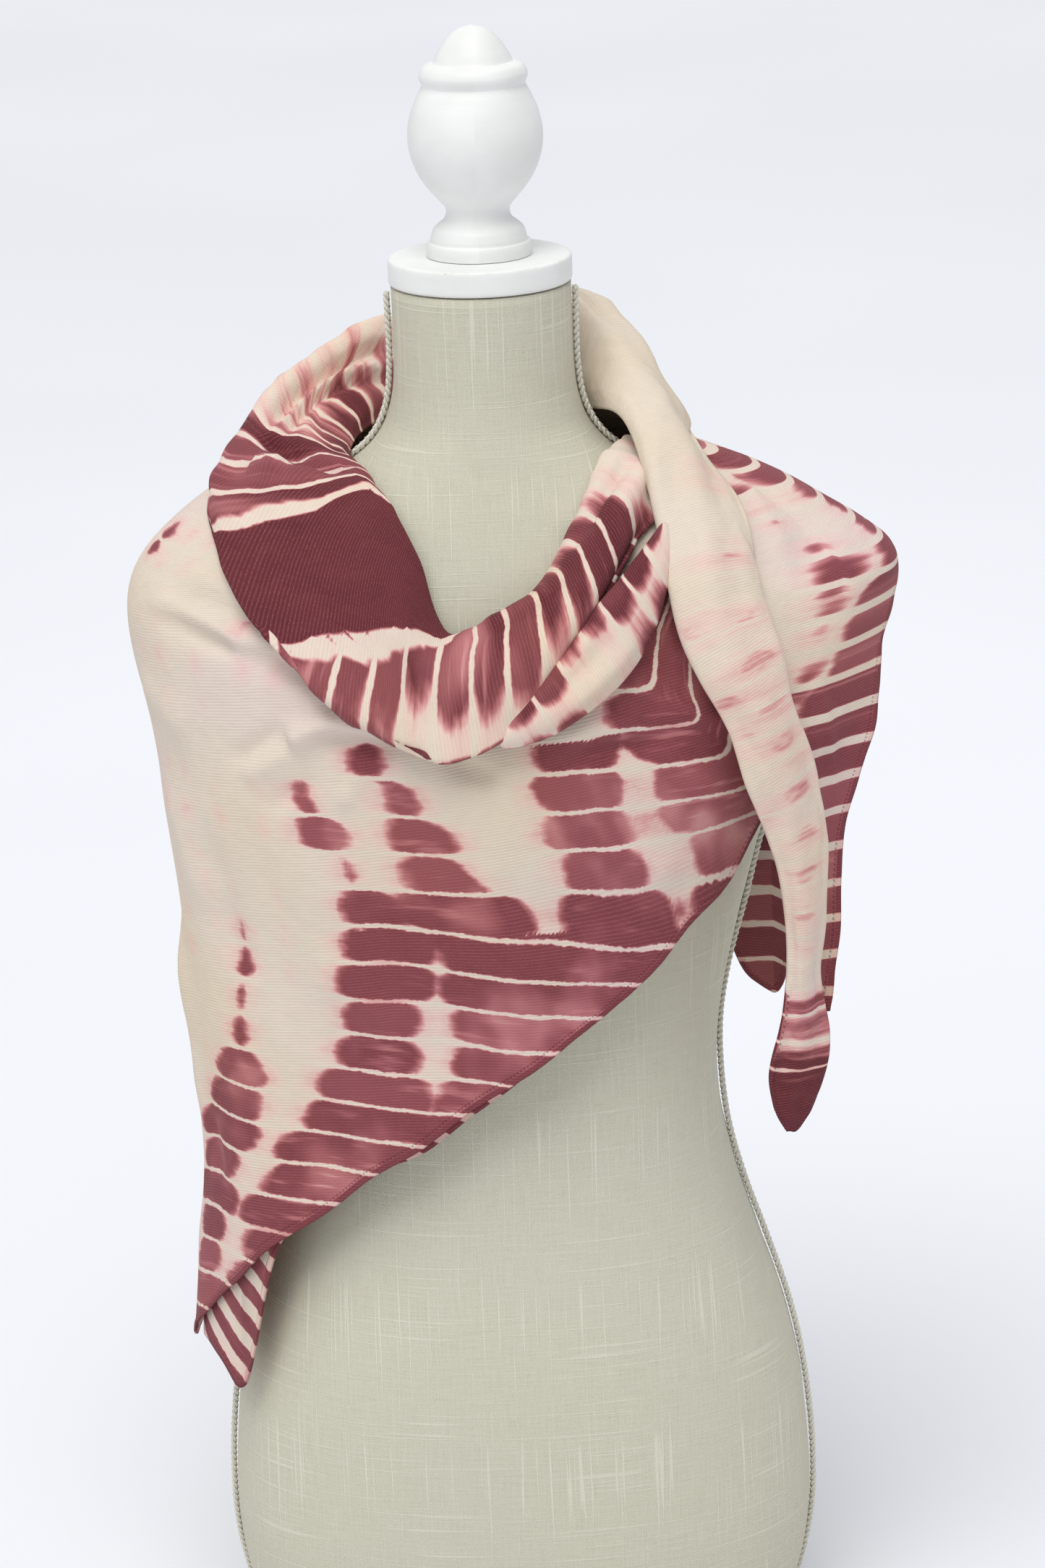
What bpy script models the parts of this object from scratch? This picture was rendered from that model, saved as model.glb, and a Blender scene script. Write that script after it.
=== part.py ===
"""A cashmere twill shawl worn on a limbless dress form.

The shawl is one square folded to a doubled triangle and wrapped round a linen
form. Millimetres in the tables, metres in the scene. +Z is up, the form stands
on z = 0 with its axis on x = y = 0, its front faces -Y and azimuth runs from the
front (0) towards +X (the wearer's left).
"""

import math

import bmesh
import bpy
import numpy as np

WALL = 1.7  # the doubled twill, modelled as one wall
SEAM = 0.4  # between two stretches of the same cloth
TORSO_CLEAR = 8.0  # from the form to the outer face of the layer next to it
LAYER_CLEAR = 5.0  # from the outer face of one layer to that of the next

# ---------------------------------------------------------------- tables

# z, half width, front, back: plan sizes of the linen body
TORSO = [
    (822, 49.6, 49.6, 49.6),
    (790, 49.2, 49.2, 49.2),
    (765, 50.5, 50.0, 51.0),
    (748, 55.0, 53.0, 56.0),
    (735, 63.0, 56.5, 61.0),
    (722, 80.0, 61.0, 67.0),
    (708, 112.0, 68.0, 74.0),
    (692, 150.0, 76.0, 82.0),
    (675, 177.0, 84.0, 88.0),
    (655, 187.0, 92.0, 92.0),
    (630, 187.0, 100.0, 94.0),
    (600, 180.0, 109.0, 95.0),
    (565, 168.0, 115.0, 93.0),
    (530, 156.0, 111.0, 88.0),
    (500, 146.5, 102.0, 83.0),
    (464, 137.5, 94.0, 77.0),
    (420, 126.0, 89.0, 73.0),
    (376, 120.0, 86.5, 71.0),
    (340, 121.5, 88.0, 73.0),
    (315, 125.5, 90.0, 77.0),
    (281, 134.5, 94.0, 85.0),
    (245, 146.5, 98.5, 96.0),
    (216, 155.5, 101.0, 105.0),
    (189, 162.0, 102.5, 112.0),
    (165, 166.0, 103.0, 117.0),
    (125, 169.8, 102.5, 121.0),
    (97, 170.8, 101.5, 121.0),
    (75, 169.6, 100.0, 119.5),
    (50, 165.5, 97.0, 116.0),
    (30, 160.0, 93.0, 111.5),
    (12, 152.5, 87.5, 105.0),
    (0, 145.0, 82.0, 99.0),
]
TORSO_POWER = 2.25

# radius, z: the turned finial, from its top down the outer side
FINIAL = [
    (0.0, 962.5),
    (8.0, 960.3),
    (14.0, 955.5),
    (19.0, 948.5),
    (21.7, 943.4),
    (23.4, 942.6),
    (27.4, 940.6),
    (29.4, 937.4),
    (29.5, 934.5),
    (28.3, 931.2),
    (28.6, 929.4),
    (31.2, 924.5),
    (34.6, 916.5),
    (36.8, 906.0),
    (36.2, 895.0),
    (33.0, 884.8),
    (28.2, 876.5),
    (22.2, 869.3),
    (18.2, 864.6),
    (17.4, 861.6),
    (18.6, 857.8),
    (22.6, 854.4),
    (24.9, 852.0),
    (26.2, 848.2),
    (26.6, 845.6),
    (28.2, 844.8),
    (28.9, 842.0),
    (28.9, 837.6),
    (0.0, 837.6),
]

# radius, z: the turned disc under it
DISC = [
    (0.0, 837.2),
    (49.2, 837.2),
    (50.1, 836.6),
    (50.5, 835.4),
    (50.5, 824.6),
    (50.1, 823.4),
    (49.2, 822.9),
    (0.0, 822.9),
]

# z, left, right under, right over, front, back under, back over:
# plan sizes of the shawl where it hangs, its lower and its upper layer
DRAPE = [
    (800, 64.0, 60.0, 72.0, 56.0, 56.0, 70.0),
    (775, 66.0, 62.0, 72.0, 56.5, 56.5, 70.0),
    (752, 74.0, 66.0, 76.0, 58.0, 58.0, 71.0),
    (745, 85.0, 74.0, 85.0, 61.0, 61.0, 74.0),
    (738, 100.0, 84.0, 96.0, 64.0, 65.0, 77.0),
    (728, 125.0, 98.0, 112.0, 69.0, 71.0, 84.0),
    (716, 150.0, 121.0, 142.0, 75.0, 78.0, 91.0),
    (703, 168.0, 148.0, 168.0, 83.0, 85.0, 97.0),
    (690, 184.0, 171.0, 189.0, 90.0, 91.0, 102.0),
    (678, 196.0, 188.5, 208.0, 96.0, 96.0, 106.0),
    (666, 204.5, 194.0, 222.0, 103.0, 100.0, 109.0),
    (655, 207.0, 198.0, 226.0, 110.0, 102.0, 111.0),
    (630, 204.0, 198.0, 223.0, 120.0, 103.0, 113.0),
    (600, 196.0, 191.0, 215.0, 126.0, 104.0, 114.0),
    (560, 190.5, 178.0, 206.0, 129.0, 102.0, 114.0),
    (525, 187.7, 166.0, 198.0, 127.0, 98.0, 113.0),
    (480, 185.0, 154.0, 190.0, 122.0, 94.0, 112.0),
    (438, 182.7, 146.0, 184.0, 118.0, 92.0, 111.0),
    (400, 180.6, 142.0, 180.0, 116.0, 90.0, 111.0),
    (350, 180.0, 142.0, 178.0, 114.0, 92.0, 113.0),
    (300, 181.5, 146.0, 180.0, 113.0, 98.0, 118.0),
    (250, 187.0, 160.0, 184.0, 116.0, 108.0, 124.0),
    (200, 190.5, 172.0, 188.0, 120.0, 118.0, 129.0),
    (150, 192.0, 178.0, 190.0, 122.0, 124.0, 132.0),
]
DRAPE_POWER = 2.12

# azimuth, hem z, top z: the front fall, from the apex at the side to the far shoulder
FRONT = [
    (-96.0, 197.0, 736.0),
    (-91.0, 196.0, 734.0),
    (-86.0, 208.0, 729.0),
    (-79.0, 228.0, 722.0),
    (-75.0, 242.0, 716.0),
    (-70.0, 256.0, 708.0),
    (-61.0, 284.0, 696.0),
    (-48.0, 313.0, 673.0),
    (-37.0, 337.0, 655.0),
    (-23.0, 358.0, 637.0),
    (-12.0, 377.0, 622.0),
    (0.0, 393.0, 628.0),
    (17.0, 418.0, 652.0),
    (29.0, 435.0, 676.0),
    (39.0, 455.0, 690.0),
    (48.0, 479.0, 703.0),
    (59.0, 495.0, 712.0),
    (65.0, 530.0, 716.0),
    (72.0, 566.0, 718.0),
    (80.0, 592.0, 718.0),
]

# azimuth, hem z, top z: the other corner, hanging behind the far shoulder
CORNER = [
    (80.6, 594.0, 717.0),
    (88.0, 588.0, 715.0),
    (94.0, 546.0, 714.0),
    (98.0, 496.0, 713.0),
    (101.5, 438.0, 713.0),
    (104.5, 396.0, 713.0),
    (107.5, 381.0, 714.0),
    (111.5, 386.0, 714.0),
    (117.0, 407.0, 716.0),
    (123.0, 446.0, 718.0),
    (130.0, 500.0, 720.0),
    (138.0, 565.0, 723.0),
    (145.0, 625.0, 726.0),
    (150.0, 690.0, 729.0),
]

# z, right, back: where that corner hangs free, straight down from the shoulder
CORNER_FALL = [
    (760, 60.0, 56.0),
    (655, 198.0, 102.0),
    (630, 198.0, 103.0),
    (600, 194.0, 104.0),
    (560, 189.0, 105.0),
    (520, 184.5, 106.0),
    (480, 180.0, 106.0),
    (430, 175.5, 106.0),
    (370, 171.0, 106.0),
]

# azimuth, hem z, top z: the back fall, from the apex round to the far shoulder
BACK = [
    (-96.6, 197.0, 736.0),
    (-107.0, 235.0, 738.0),
    (-120.0, 276.0, 741.0),
    (-140.0, 326.0, 745.0),
    (-160.0, 369.0, 748.0),
    (-180.0, 411.0, 751.0),
    (-200.0, 453.0, 754.0),
    (-212.0, 482.0, 756.0),
    (-222.0, 508.0, 756.0),
    (-232.0, 536.0, 753.0),
    (-240.0, 560.0, 750.0),
    (-250.0, 594.0, 745.0),
    (-260.0, 633.0, 740.0),
    (-267.4, 664.0, 735.0),
]

# azimuth, how far below the outer hem it ends, its height, inset: the under layer
UNDER = [
    (-106.0, -12.0, 46.0, 9.0),
    (-100.0, -4.0, 52.0, 9.5),
    (-93.0, -2.0, 60.0, 7.0),
    (-88.0, 2.0, 66.0, 6.0),
    (-85.0, 6.0, 74.0, 5.6),
    (-81.0, 16.0, 84.0, 5.4),
    (-77.0, 33.0, 98.0, 5.4),
    (-73.5, 51.0, 112.0, 5.4),
    (-70.5, 66.0, 122.0, 5.4),
    (-68.8, 68.0, 122.0, 5.3),
    (-66.5, 55.0, 108.0, 5.2),
    (-64.0, 30.0, 84.0, 5.0),
    (-61.5, 6.0, 58.0, 4.8),
    (-58.0, -4.0, 44.0, 4.6),
    (-40.0, -4.0, 36.0, 4.4),
    (-26.0, 3.0, 36.0, 4.2),
    (-12.0, 4.5, 36.0, 4.2),
    (0.0, 3.0, 34.0, 4.2),
    (14.0, -4.0, 30.0, 4.2),
    (30.0, -5.0, 26.0, 4.2),
]

# z, azimuth and inset or radius of the inner edge, azimuth and radius of the hem:
# the panel over the far shoulder, down beside the hanging end
SHOULDER = [
    (736.0, 86.0, 92.0, 91.8, 98.0),
    (722.0, 79.0, 99.0, 91.8, 126.0),
    (702.0, 68.0, 122.0, 91.8, 165.0),
    (680.0, 59.0, 141.0, 91.8, 203.0),
    (664.0, 55.5, 150.0, 91.0, 225.0),
    (654.0, 54.5, 155.0, 88.0, 226.0),
    (635.0, 54.0, 163.0, 84.5, 223.5),
    (619.0, 54.5, 168.0, 81.5, 219.0),
    (604.0, 55.5, 171.0, 79.0, 218.0),
    (582.0, 57.0, 174.0, 77.0, 217.0),
    (563.0, 58.5, 176.0, 75.0, 212.0),
    (544.0, 59.5, 178.0, 73.0, 207.0),
    (520.0, 60.5, 180.0, 71.0, 202.0),
    (488.0, 61.5, 180.0, 70.0, 201.0),
    (465.0, 62.0, 180.0, 69.2, 201.5),
    (441.0, 62.0, 180.0, 68.0, 199.0),
    (418.0, 62.0, 180.0, 66.6, 197.0),
]

# x, y, z, half width, half depth: the rolled end that hangs in front of the far shoulder
TAIL = [
    (88.0, -11.0, 748.0, 20.0, 14.5),
    (96.3, -29.0, 737.5, 20.8, 13.5),
    (103.0, -47.0, 722.5, 21.8, 12.5),
    (110.5, -67.0, 703.0, 23.0, 11.5),
    (118.0, -88.0, 677.5, 25.5, 11.0),
    (124.1, -101.0, 653.1, 26.8, 11.0),
    (133.0, -108.0, 630.7, 24.4, 10.5),
    (142.2, -110.0, 606.4, 20.6, 10.0),
    (148.6, -110.0, 584.3, 19.9, 9.0),
    (156.1, -107.0, 557.7, 19.6, 8.5),
    (161.3, -104.0, 536.4, 18.4, 8.5),
    (164.9, -102.0, 513.2, 15.4, 8.0),
    (165.8, -99.0, 481.6, 11.8, 7.5),
    (164.8, -97.0, 454.4, 9.8, 7.0),
    (164.8, -95.0, 431.7, 12.5, 6.0),
    (164.6, -94.0, 412.6, 16.4, 5.0),
    (161.0, -93.0, 387.7, 18.6, 4.5),
    (159.1, -92.0, 366.1, 13.0, 4.2),
    (158.1, -91.0, 352.6, 4.6, 3.4),
]

# azimuth, then r and z of foot, inner, ridge, middle, lower edge and tuck:
# the cowl across the front (first rows) and the collar behind the neck (last rows)
COWL = [
    (80.0, 76.0, 724.0, 74.0, 730.0, 77.0, 736.5, 86.0, 736.0, 94.0, 729.5, 91.0, 727.0),
    (71.0, 73.0, 721.0, 72.0, 728.0, 75.5, 735.5, 88.0, 734.0, 98.0, 723.5, 93.0, 720.5),
    (63.0, 71.0, 718.0, 71.0, 727.0, 75.0, 734.0, 92.0, 731.0, 103.0, 717.0, 97.0, 713.5),
    (45.0, 77.0, 706.0, 76.0, 715.0, 80.0, 722.5, 100.0, 721.0, 116.0, 698.0, 107.0, 695.0),
    (30.0, 86.0, 683.0, 85.0, 693.0, 89.5, 701.5, 109.0, 701.0, 126.5, 671.0, 117.0, 669.0),
    (15.0, 95.0, 655.0, 94.0, 665.0, 97.5, 674.5, 118.0, 674.0, 136.0, 637.0, 127.0, 636.0),
    (0.0, 101.0, 638.0, 99.5, 650.0, 101.5, 660.5, 124.0, 657.0, 143.5, 601.0, 133.0, 602.5),
    (-13.0, 108.0, 626.0, 105.0, 639.0, 106.5, 650.5, 127.0, 640.0, 147.0, 592.5, 136.0, 596.0),
    (-24.0, 101.0, 662.0, 95.0, 678.0, 95.0, 690.0, 125.0, 661.0, 149.0, 604.0, 140.0, 608.0),
    (-35.0, 94.0, 688.0, 88.5, 700.0, 88.0, 710.0, 122.0, 682.0, 154.0, 624.5, 146.0, 629.0),
    (-46.0, 88.0, 704.0, 83.0, 713.0, 84.0, 721.5, 120.0, 699.0, 157.5, 647.0, 151.0, 650.0),
    (-58.0, 80.0, 716.0, 78.0, 723.0, 81.5, 729.5, 120.0, 715.0, 160.5, 671.0, 155.0, 672.0),
    (-70.0, 76.0, 725.0, 77.0, 729.5, 84.5, 733.5, 123.0, 729.0, 158.5, 697.0, 154.0, 696.0),
    (-82.0, 76.0, 730.0, 79.0, 734.0, 92.0, 739.0, 124.0, 740.0, 152.5, 717.0, 148.0, 714.0),
    (-92.0, 74.0, 733.0, 80.0, 738.5, 97.0, 746.0, 123.0, 750.0, 144.5, 734.0, 140.0, 729.0),
    (-100.0, 72.0, 735.5, 78.0, 743.0, 98.0, 754.5, 118.0, 758.0, 137.0, 742.0, 131.0, 735.5),
    (-110.0, 68.5, 738.0, 74.0, 749.0, 93.0, 765.0, 110.0, 766.0, 127.0, 748.0, 121.0, 741.5),
    (-122.0, 65.0, 740.0, 68.5, 755.0, 84.5, 777.5, 99.5, 775.0, 115.5, 752.0, 109.0, 746.5),
    (-136.0, 62.5, 742.0, 63.5, 760.0, 76.0, 789.0, 91.0, 783.0, 106.0, 755.0, 99.0, 750.0),
    (-158.0, 61.5, 743.0, 61.0, 763.0, 71.5, 797.5, 86.0, 790.0, 100.0, 757.0, 93.0, 752.0),
    (-180.0, 61.0, 743.5, 60.5, 765.0, 70.5, 801.0, 85.0, 793.0, 99.0, 758.0, 92.0, 753.0),
    (-198.0, 61.0, 745.5, 60.5, 767.5, 71.0, 803.5, 85.5, 797.0, 100.0, 763.0, 94.0, 757.0),
    (-212.0, 60.5, 748.0, 60.0, 770.0, 71.5, 805.5, 86.0, 800.0, 101.5, 768.0, 95.5, 761.5),
    (-224.0, 60.0, 749.0, 59.5, 771.0, 72.0, 805.0, 86.5, 799.0, 102.5, 769.0, 96.5, 762.0),
    (-236.0, 59.0, 747.0, 59.0, 769.0, 72.0, 799.0, 87.5, 791.0, 104.0, 762.0, 98.0, 756.0),
    (-248.0, 58.5, 745.0, 59.0, 765.0, 73.0, 790.0, 90.5, 780.0, 107.5, 752.0, 101.5, 747.0),
    (-258.0, 59.5, 745.0, 61.0, 763.0, 77.0, 780.0, 96.0, 769.0, 113.0, 743.0, 107.0, 739.0),
    (-267.0, 64.0, 748.0, 67.0, 761.0, 84.0, 769.5, 103.5, 757.5, 120.0, 733.0, 114.0, 730.0),
]
COWL_SPLIT = -100.0  # azimuth where the cowl hands over to the collar
TAIL_SPLIT = -224.0  # and where the collar comes forward as the hanging end

# x, y, z, half width, half depth: the second roll, under the cowl
SECOND_ROLL = [
    (12.0, -135.0, 597.0, 4.5, 4.0),
    (19.5, -136.0, 602.5, 8.0, 6.3),
    (30.0, -135.4, 610.5, 11.0, 8.0),
    (43.2, -132.2, 621.0, 14.2, 9.0),
    (60.2, -125.2, 637.5, 16.2, 9.6),
    (74.0, -115.4, 655.0, 15.5, 9.4),
    (82.0, -106.0, 668.5, 11.5, 7.8),
    (86.0, -99.5, 679.5, 7.0, 5.0),
]

BRAID_RADIUS = 2.3


# ---------------------------------------------------------------- reading the tables


def at(table, key):
    """The rows of a table at any value of its first column, joined by a monotone cubic."""
    rows = np.asarray(table, float)
    rows = rows[np.argsort(rows[:, 0])]
    keys, values = rows[:, 0], rows[:, 1:]
    span = np.diff(keys)[:, None]
    slope = np.diff(values, axis=0) / span
    before, after = slope[:-1], slope[1:]
    w1, w2 = 2 * span[1:] + span[:-1], span[1:] + 2 * span[:-1]
    same = before * after > 0
    mean = (w1 + w2) / (w1 / np.where(same, before, 1) + w2 / np.where(same, after, 1))
    tangent = np.vstack([slope[:1], np.where(same, mean, 0), slope[-1:]])
    key = np.clip(np.asarray(key, float), keys[0], keys[-1])
    i = np.clip(np.searchsorted(keys, key, side="right") - 1, 0, len(keys) - 2)
    h = span[i, 0][..., None]
    u = ((key - keys[i]) / span[i, 0])[..., None]
    return (
        values[i] * (1 + 2 * u) * (1 - u) ** 2
        + tangent[i] * h * u * (1 - u) ** 2
        + values[i + 1] * u**2 * (3 - 2 * u)
        + tangent[i + 1] * h * u**2 * (u - 1)
    )


def along(rows, t):
    """A smooth curve through the rows; t runs 0..1 by the row's number."""
    rows = np.asarray(rows, float)
    last = len(rows) - 1
    x = np.clip(np.asarray(t, float), 0, 1) * last
    i = np.clip(np.floor(x).astype(int), 0, last - 1)
    f = (x - i)[..., None]
    a, b = rows[i], rows[i + 1]
    before = np.where((i > 0)[..., None], rows[np.maximum(i - 1, 0)], 2 * a - b)
    after = np.where((i + 2 <= last)[..., None], rows[np.minimum(i + 2, last)], 2 * b - a)
    return 0.5 * (
        2 * a
        + (b - before) * f
        + (2 * before - 5 * a + 4 * b - after) * f**2
        + (3 * a - before - 3 * b + after) * f**3
    )


def plan_radius(az, left, right, front, back, power):
    side = np.where(np.sin(az) > 0, right, left)
    depth = np.where(np.cos(az) > 0, front, back)
    return (np.abs(np.sin(az) / side) ** power + np.abs(np.cos(az) / depth) ** power) ** (
        -1.0 / power
    )


def polar(az, r, z):
    az, r, z = np.broadcast_arrays(az, r, z)
    return np.stack([r * np.sin(az), -r * np.cos(az), z], axis=-1)


def smoothstep(low, high, x):
    t = np.clip((np.asarray(x, float) - low) / (high - low), 0, 1)
    return t * t * (3 - 2 * t)


# ---------------------------------------------------------------- surfaces


def torso_radius(az, z):
    size = at(TORSO, z)
    power = np.where(np.asarray(z) > 740, 2.0, TORSO_POWER)
    return plan_radius(az, size[..., 0], size[..., 0], size[..., 1], size[..., 2], power)


def under_radius(az, z):
    """The layer next to the form."""
    size = at(DRAPE, z)
    back = np.where(np.sin(az) > 0, size[..., 4], size[..., 5])
    r = plan_radius(az, size[..., 0], size[..., 1], size[..., 3], back, DRAPE_POWER)
    return np.maximum(r, torso_radius(az, z) + TORSO_CLEAR)


def over_radius(az, z):
    """The layer that crosses over it, behind and over the far shoulder."""
    size = at(DRAPE, z)
    r = plan_radius(az, size[..., 0], size[..., 2], size[..., 3], size[..., 5], DRAPE_POWER)
    far = smoothstep(-0.1, 0.25, np.sin(az))
    return np.maximum(r, under_radius(az, z) + LAYER_CLEAR * far)


def front_folds(az, z):
    """Soft falls of the front panel: a long one from the near shoulder, and slack by the hem."""
    deg = np.degrees(az)
    crease = 668.0 - 0.62 * (deg + 92.0) - 0.012 * (deg + 92.0) ** 2
    shoulder = 2.6 * np.exp(-(((z - crease - 9.0) / 11.0) ** 2)) - 2.2 * np.exp(
        -(((z - crease + 6.0) / 8.0) ** 2)
    )
    fade = smoothstep(-96.0, -84.0, deg) * (1 - smoothstep(-42.0, -26.0, deg))
    slack = 1.6 * np.sin((deg + 0.10 * z) * 0.16) * smoothstep(640.0, 420.0, z)
    return shoulder * fade + slack * smoothstep(-96.0, -80.0, deg)


def back_folds(az, z):
    """Soft falls from the shoulder blades, wider near the hem."""
    deg = np.degrees(az)
    edge = smoothstep(-96.6, -116.0, deg) * smoothstep(-268.0, -250.0, deg)
    deep = 1.2 + 5.0 * smoothstep(690.0, 430.0, z)
    wave = np.sin(np.radians(deg * 5.2 + 0.16 * z)) + 0.35 * np.sin(
        np.radians(deg * 9.7 - 0.21 * z + 40.0)
    )
    return deep * 0.8 * (wave + 0.75) * edge


def fall(table, start, end, across, down, surface, folds):
    """A hanging stretch: rings from its hem up to its hidden top edge."""
    az = np.linspace(start, end, across)
    edge = at(table, az)
    t = 1.0 - (1.0 - np.linspace(0, 1, down)) ** 1.5
    z = edge[:, :1] + (edge[:, 1:2] - edge[:, :1]) * t[None, :]
    a = np.radians(az)[:, None] + 0 * z
    r = surface(a, z) + (folds(a, z) if folds else 0)
    return polar(a, r, z)


def front_grid(across, down):
    def held(az, z):
        return np.maximum(under_radius(az, z) + front_folds(az, z), torso_radius(az, z) + 4.0)

    return fall(FRONT, FRONT[0][0], FRONT[-1][0], across, down, held, None)


def corner_grid(across, down):
    def held(az, z):
        size = at(CORNER_FALL, z)
        r = plan_radius(az, size[..., 0], size[..., 0], size[..., 1], size[..., 1], DRAPE_POWER)
        folds = 2.2 * np.sin(np.degrees(az) * 0.30 + z * 0.020) * smoothstep(640.0, 500.0, z)
        return np.where(z < 652.0, np.maximum(under_radius(az, z), r + folds), under_radius(az, z))

    return fall(CORNER, CORNER[0][0], CORNER[-1][0], across, down, held, None)


def back_grid(across, down):
    return fall(BACK, BACK[0][0], BACK[-1][0], across, down, over_radius, back_folds)


def under_grid(across, down):
    """The lower layer of the doubled cloth, where it hangs out below the outer hem."""
    az = np.linspace(UNDER[0][0], UNDER[-1][0], across)
    row = at(UNDER, az)
    hem = np.where(az < BACK[0][0], at(BACK, az)[:, 0], at(FRONT, az)[:, 0])
    low = hem - row[:, 0]
    t = np.linspace(0, 1, down)
    z = low[:, None] + row[:, 1:2] * t[None, :]
    a = np.radians(az)[:, None] + 0 * z
    outer = np.where(
        az[:, None] < BACK[0][0],
        over_radius(a, z) + back_folds(a, z),
        under_radius(a, z) + front_folds(a, z),
    )
    r = np.maximum(outer - row[:, 2:3], torso_radius(a, z) + 2.2 + WALL)
    return polar(a, r, z)


def shoulder_radius(az, z):
    row = at(SHOULDER, z)
    left, right = np.radians(row[..., 0]), np.radians(row[..., 2])
    u = np.clip((az - left) / np.maximum(right - left, 0.01), 0, 1)
    low = smoothstep(665.0, 560.0, z)
    r = row[..., 1] + (row[..., 3] - row[..., 1]) * u**0.9
    r = r + 5.5 * np.sin(math.pi * u) * (1 - low) + low * 3.0 * np.sin(2 * math.pi * u)
    lift = 4.6 + 1.4 * smoothstep(670.0, 700.0, z) + 2.0 * smoothstep(0.0, 0.5, u) * smoothstep(1.0, 0.8, u)
    held = under_radius(az, z) + lift
    return np.maximum(r, smoothstep(600.0, 640.0, z) * held)


def shoulder_grid(across, down):
    z = along(SHOULDER, np.linspace(0, 1, down))[:, :1]
    row = at(SHOULDER, z[:, 0])
    u = np.linspace(0, 1, across)[None, :]
    a = np.radians(row[:, :1] + (row[:, 2:3] - row[:, :1]) * u)
    z = z + 0 * u
    return polar(a, shoulder_radius(a, z), z)[::-1]


def cowl_grid(start, end, across, around):
    az = np.linspace(start, end, across)
    row = at(COWL, az).reshape(across, 6, 2)
    t = np.linspace(0, 1, around)
    points = np.stack([along(row[k], t) for k in range(across)])
    r, z = points[..., 0], points[..., 1]
    a = np.radians(az)[:, None] + 0 * r
    r = np.maximum(r, torso_radius(a, z) + 2.2)
    outer = np.where(a < math.radians(FRONT[0][0]), over_radius(a, z), under_radius(a, z))
    outer = outer + front_folds(a, z) * (a > math.radians(FRONT[0][0])) + 2.2 + WALL
    r = np.where(t[None, :] > 0.72, np.maximum(r, outer), r)
    return polar(a, r, z)


def lying_on(grid, gap):
    """Moves the points of a roll outwards until they clear the cloth that it lies on."""
    x, y, z = grid[..., 0], grid[..., 1], grid[..., 2]
    az, r = np.arctan2(x, -y), np.hypot(x, y)
    below = under_radius(az, z) + front_folds(az, z) * (az < math.radians(80.0)) + gap
    inner = np.radians(at(SHOULDER, z)[..., 0] - 5.0)
    on_shoulder = (az > inner) & (az < math.radians(92.0)) & (z > 600.0)
    sloped = 3.4 + 8.6 * smoothstep(655.0, 715.0, z)  # radially, where the shoulder lies flat
    below = np.where(on_shoulder, np.maximum(below, shoulder_radius(az, z) + sloped), below)
    behind = smoothstep(math.radians(86.0), math.radians(98.0), az)
    below = below + behind * (np.maximum(below, over_radius(az, z) + 5.0) - below)
    return polar(az, np.maximum(r, below), z)


def roll_grid(rows, along_count, around, start=-22.0, end=202.0):
    """A rolled edge: an open hook section carried along a path, closed side outwards."""
    t = np.linspace(0, 1, along_count)
    row = along(rows, t)
    path = row[:, :3]
    tangent = np.gradient(path, axis=0)
    tangent /= np.linalg.norm(tangent, axis=1)[:, None]
    flat = 115.0 + 85.0 * smoothstep(700.0, 765.0, path[:, 2])
    out = np.stack([path[:, 0] / 200.0**2, path[:, 1] / flat**2, 0 * flat], axis=-1)
    out /= np.linalg.norm(out, axis=1)[:, None]
    out = out + np.array([0.0, 0.0, 1.0]) * smoothstep(640.0, 760.0, path[:, 2:3]) * 0.9
    out -= tangent * (out * tangent).sum(axis=1)[:, None]
    out /= np.linalg.norm(out, axis=1)[:, None]
    side = np.cross(out, tangent)
    angle = np.radians(np.linspace(start, end, around))
    return (
        path[:, None, :]
        + side[:, None, :] * (row[:, 3:4] * np.cos(angle)[None, :])[..., None]
        + out[:, None, :] * (row[:, 4:5] * np.sin(angle)[None, :])[..., None]
    )


def tail_grid(head, along_count, around):
    """The hanging end: the collar's section comes forward over the shoulder and turns into the roll."""
    first = cowl_grid(TAIL_SPLIT - 0.25, COWL[-1][0], head, around)[:, ::-1]
    return np.concatenate([first, lying_on(roll_grid(TAIL, along_count, around), 8.5)])


# ---------------------------------------------------------------- building


def clear_scene():
    for item in list(bpy.data.objects):
        bpy.data.objects.remove(item, do_unlink=True)
    for item in list(bpy.data.collections):
        bpy.data.collections.remove(item)


def material(name, colour, roughness, metallic=0.0):
    made = bpy.data.materials.new(name)
    made.use_nodes = True
    shader = made.node_tree.nodes["Principled BSDF"]
    shader.inputs["Base Color"].default_value = (*colour, 1.0)
    shader.inputs["Roughness"].default_value = roughness
    shader.inputs["Metallic"].default_value = metallic
    made.diffuse_color = (*colour, 1.0)
    return made


def mesh_object(name, verts, faces, made_of, smooth=True):
    mesh = bpy.data.meshes.new(name)
    mesh.from_pydata([tuple(v) for v in verts], [], faces)
    mesh.validate()
    mesh.materials.append(made_of)
    obj = bpy.data.objects.new(name, mesh)
    part.objects.link(obj)
    if smooth:
        for polygon in mesh.polygons:
            polygon.use_smooth = True
    return obj


def outward(grid):
    """Turns a grid so that its faces look away from the form's axis or the path it follows."""
    n, m = grid.shape[:2]
    a = grid[1:, :-1] - grid[:-1, :-1]
    b = grid[:-1, 1:] - grid[:-1, :-1]
    normal = np.cross(a, b).reshape(-1, 3)
    middle = 0.25 * (grid[1:, :-1] + grid[:-1, :-1] + grid[:-1, 1:] + grid[1:, 1:]).reshape(-1, 3)
    away = middle * np.array([1.0, 1.0, 0.0])
    return grid if (normal * away).sum() > 0 else grid[::-1]


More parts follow.
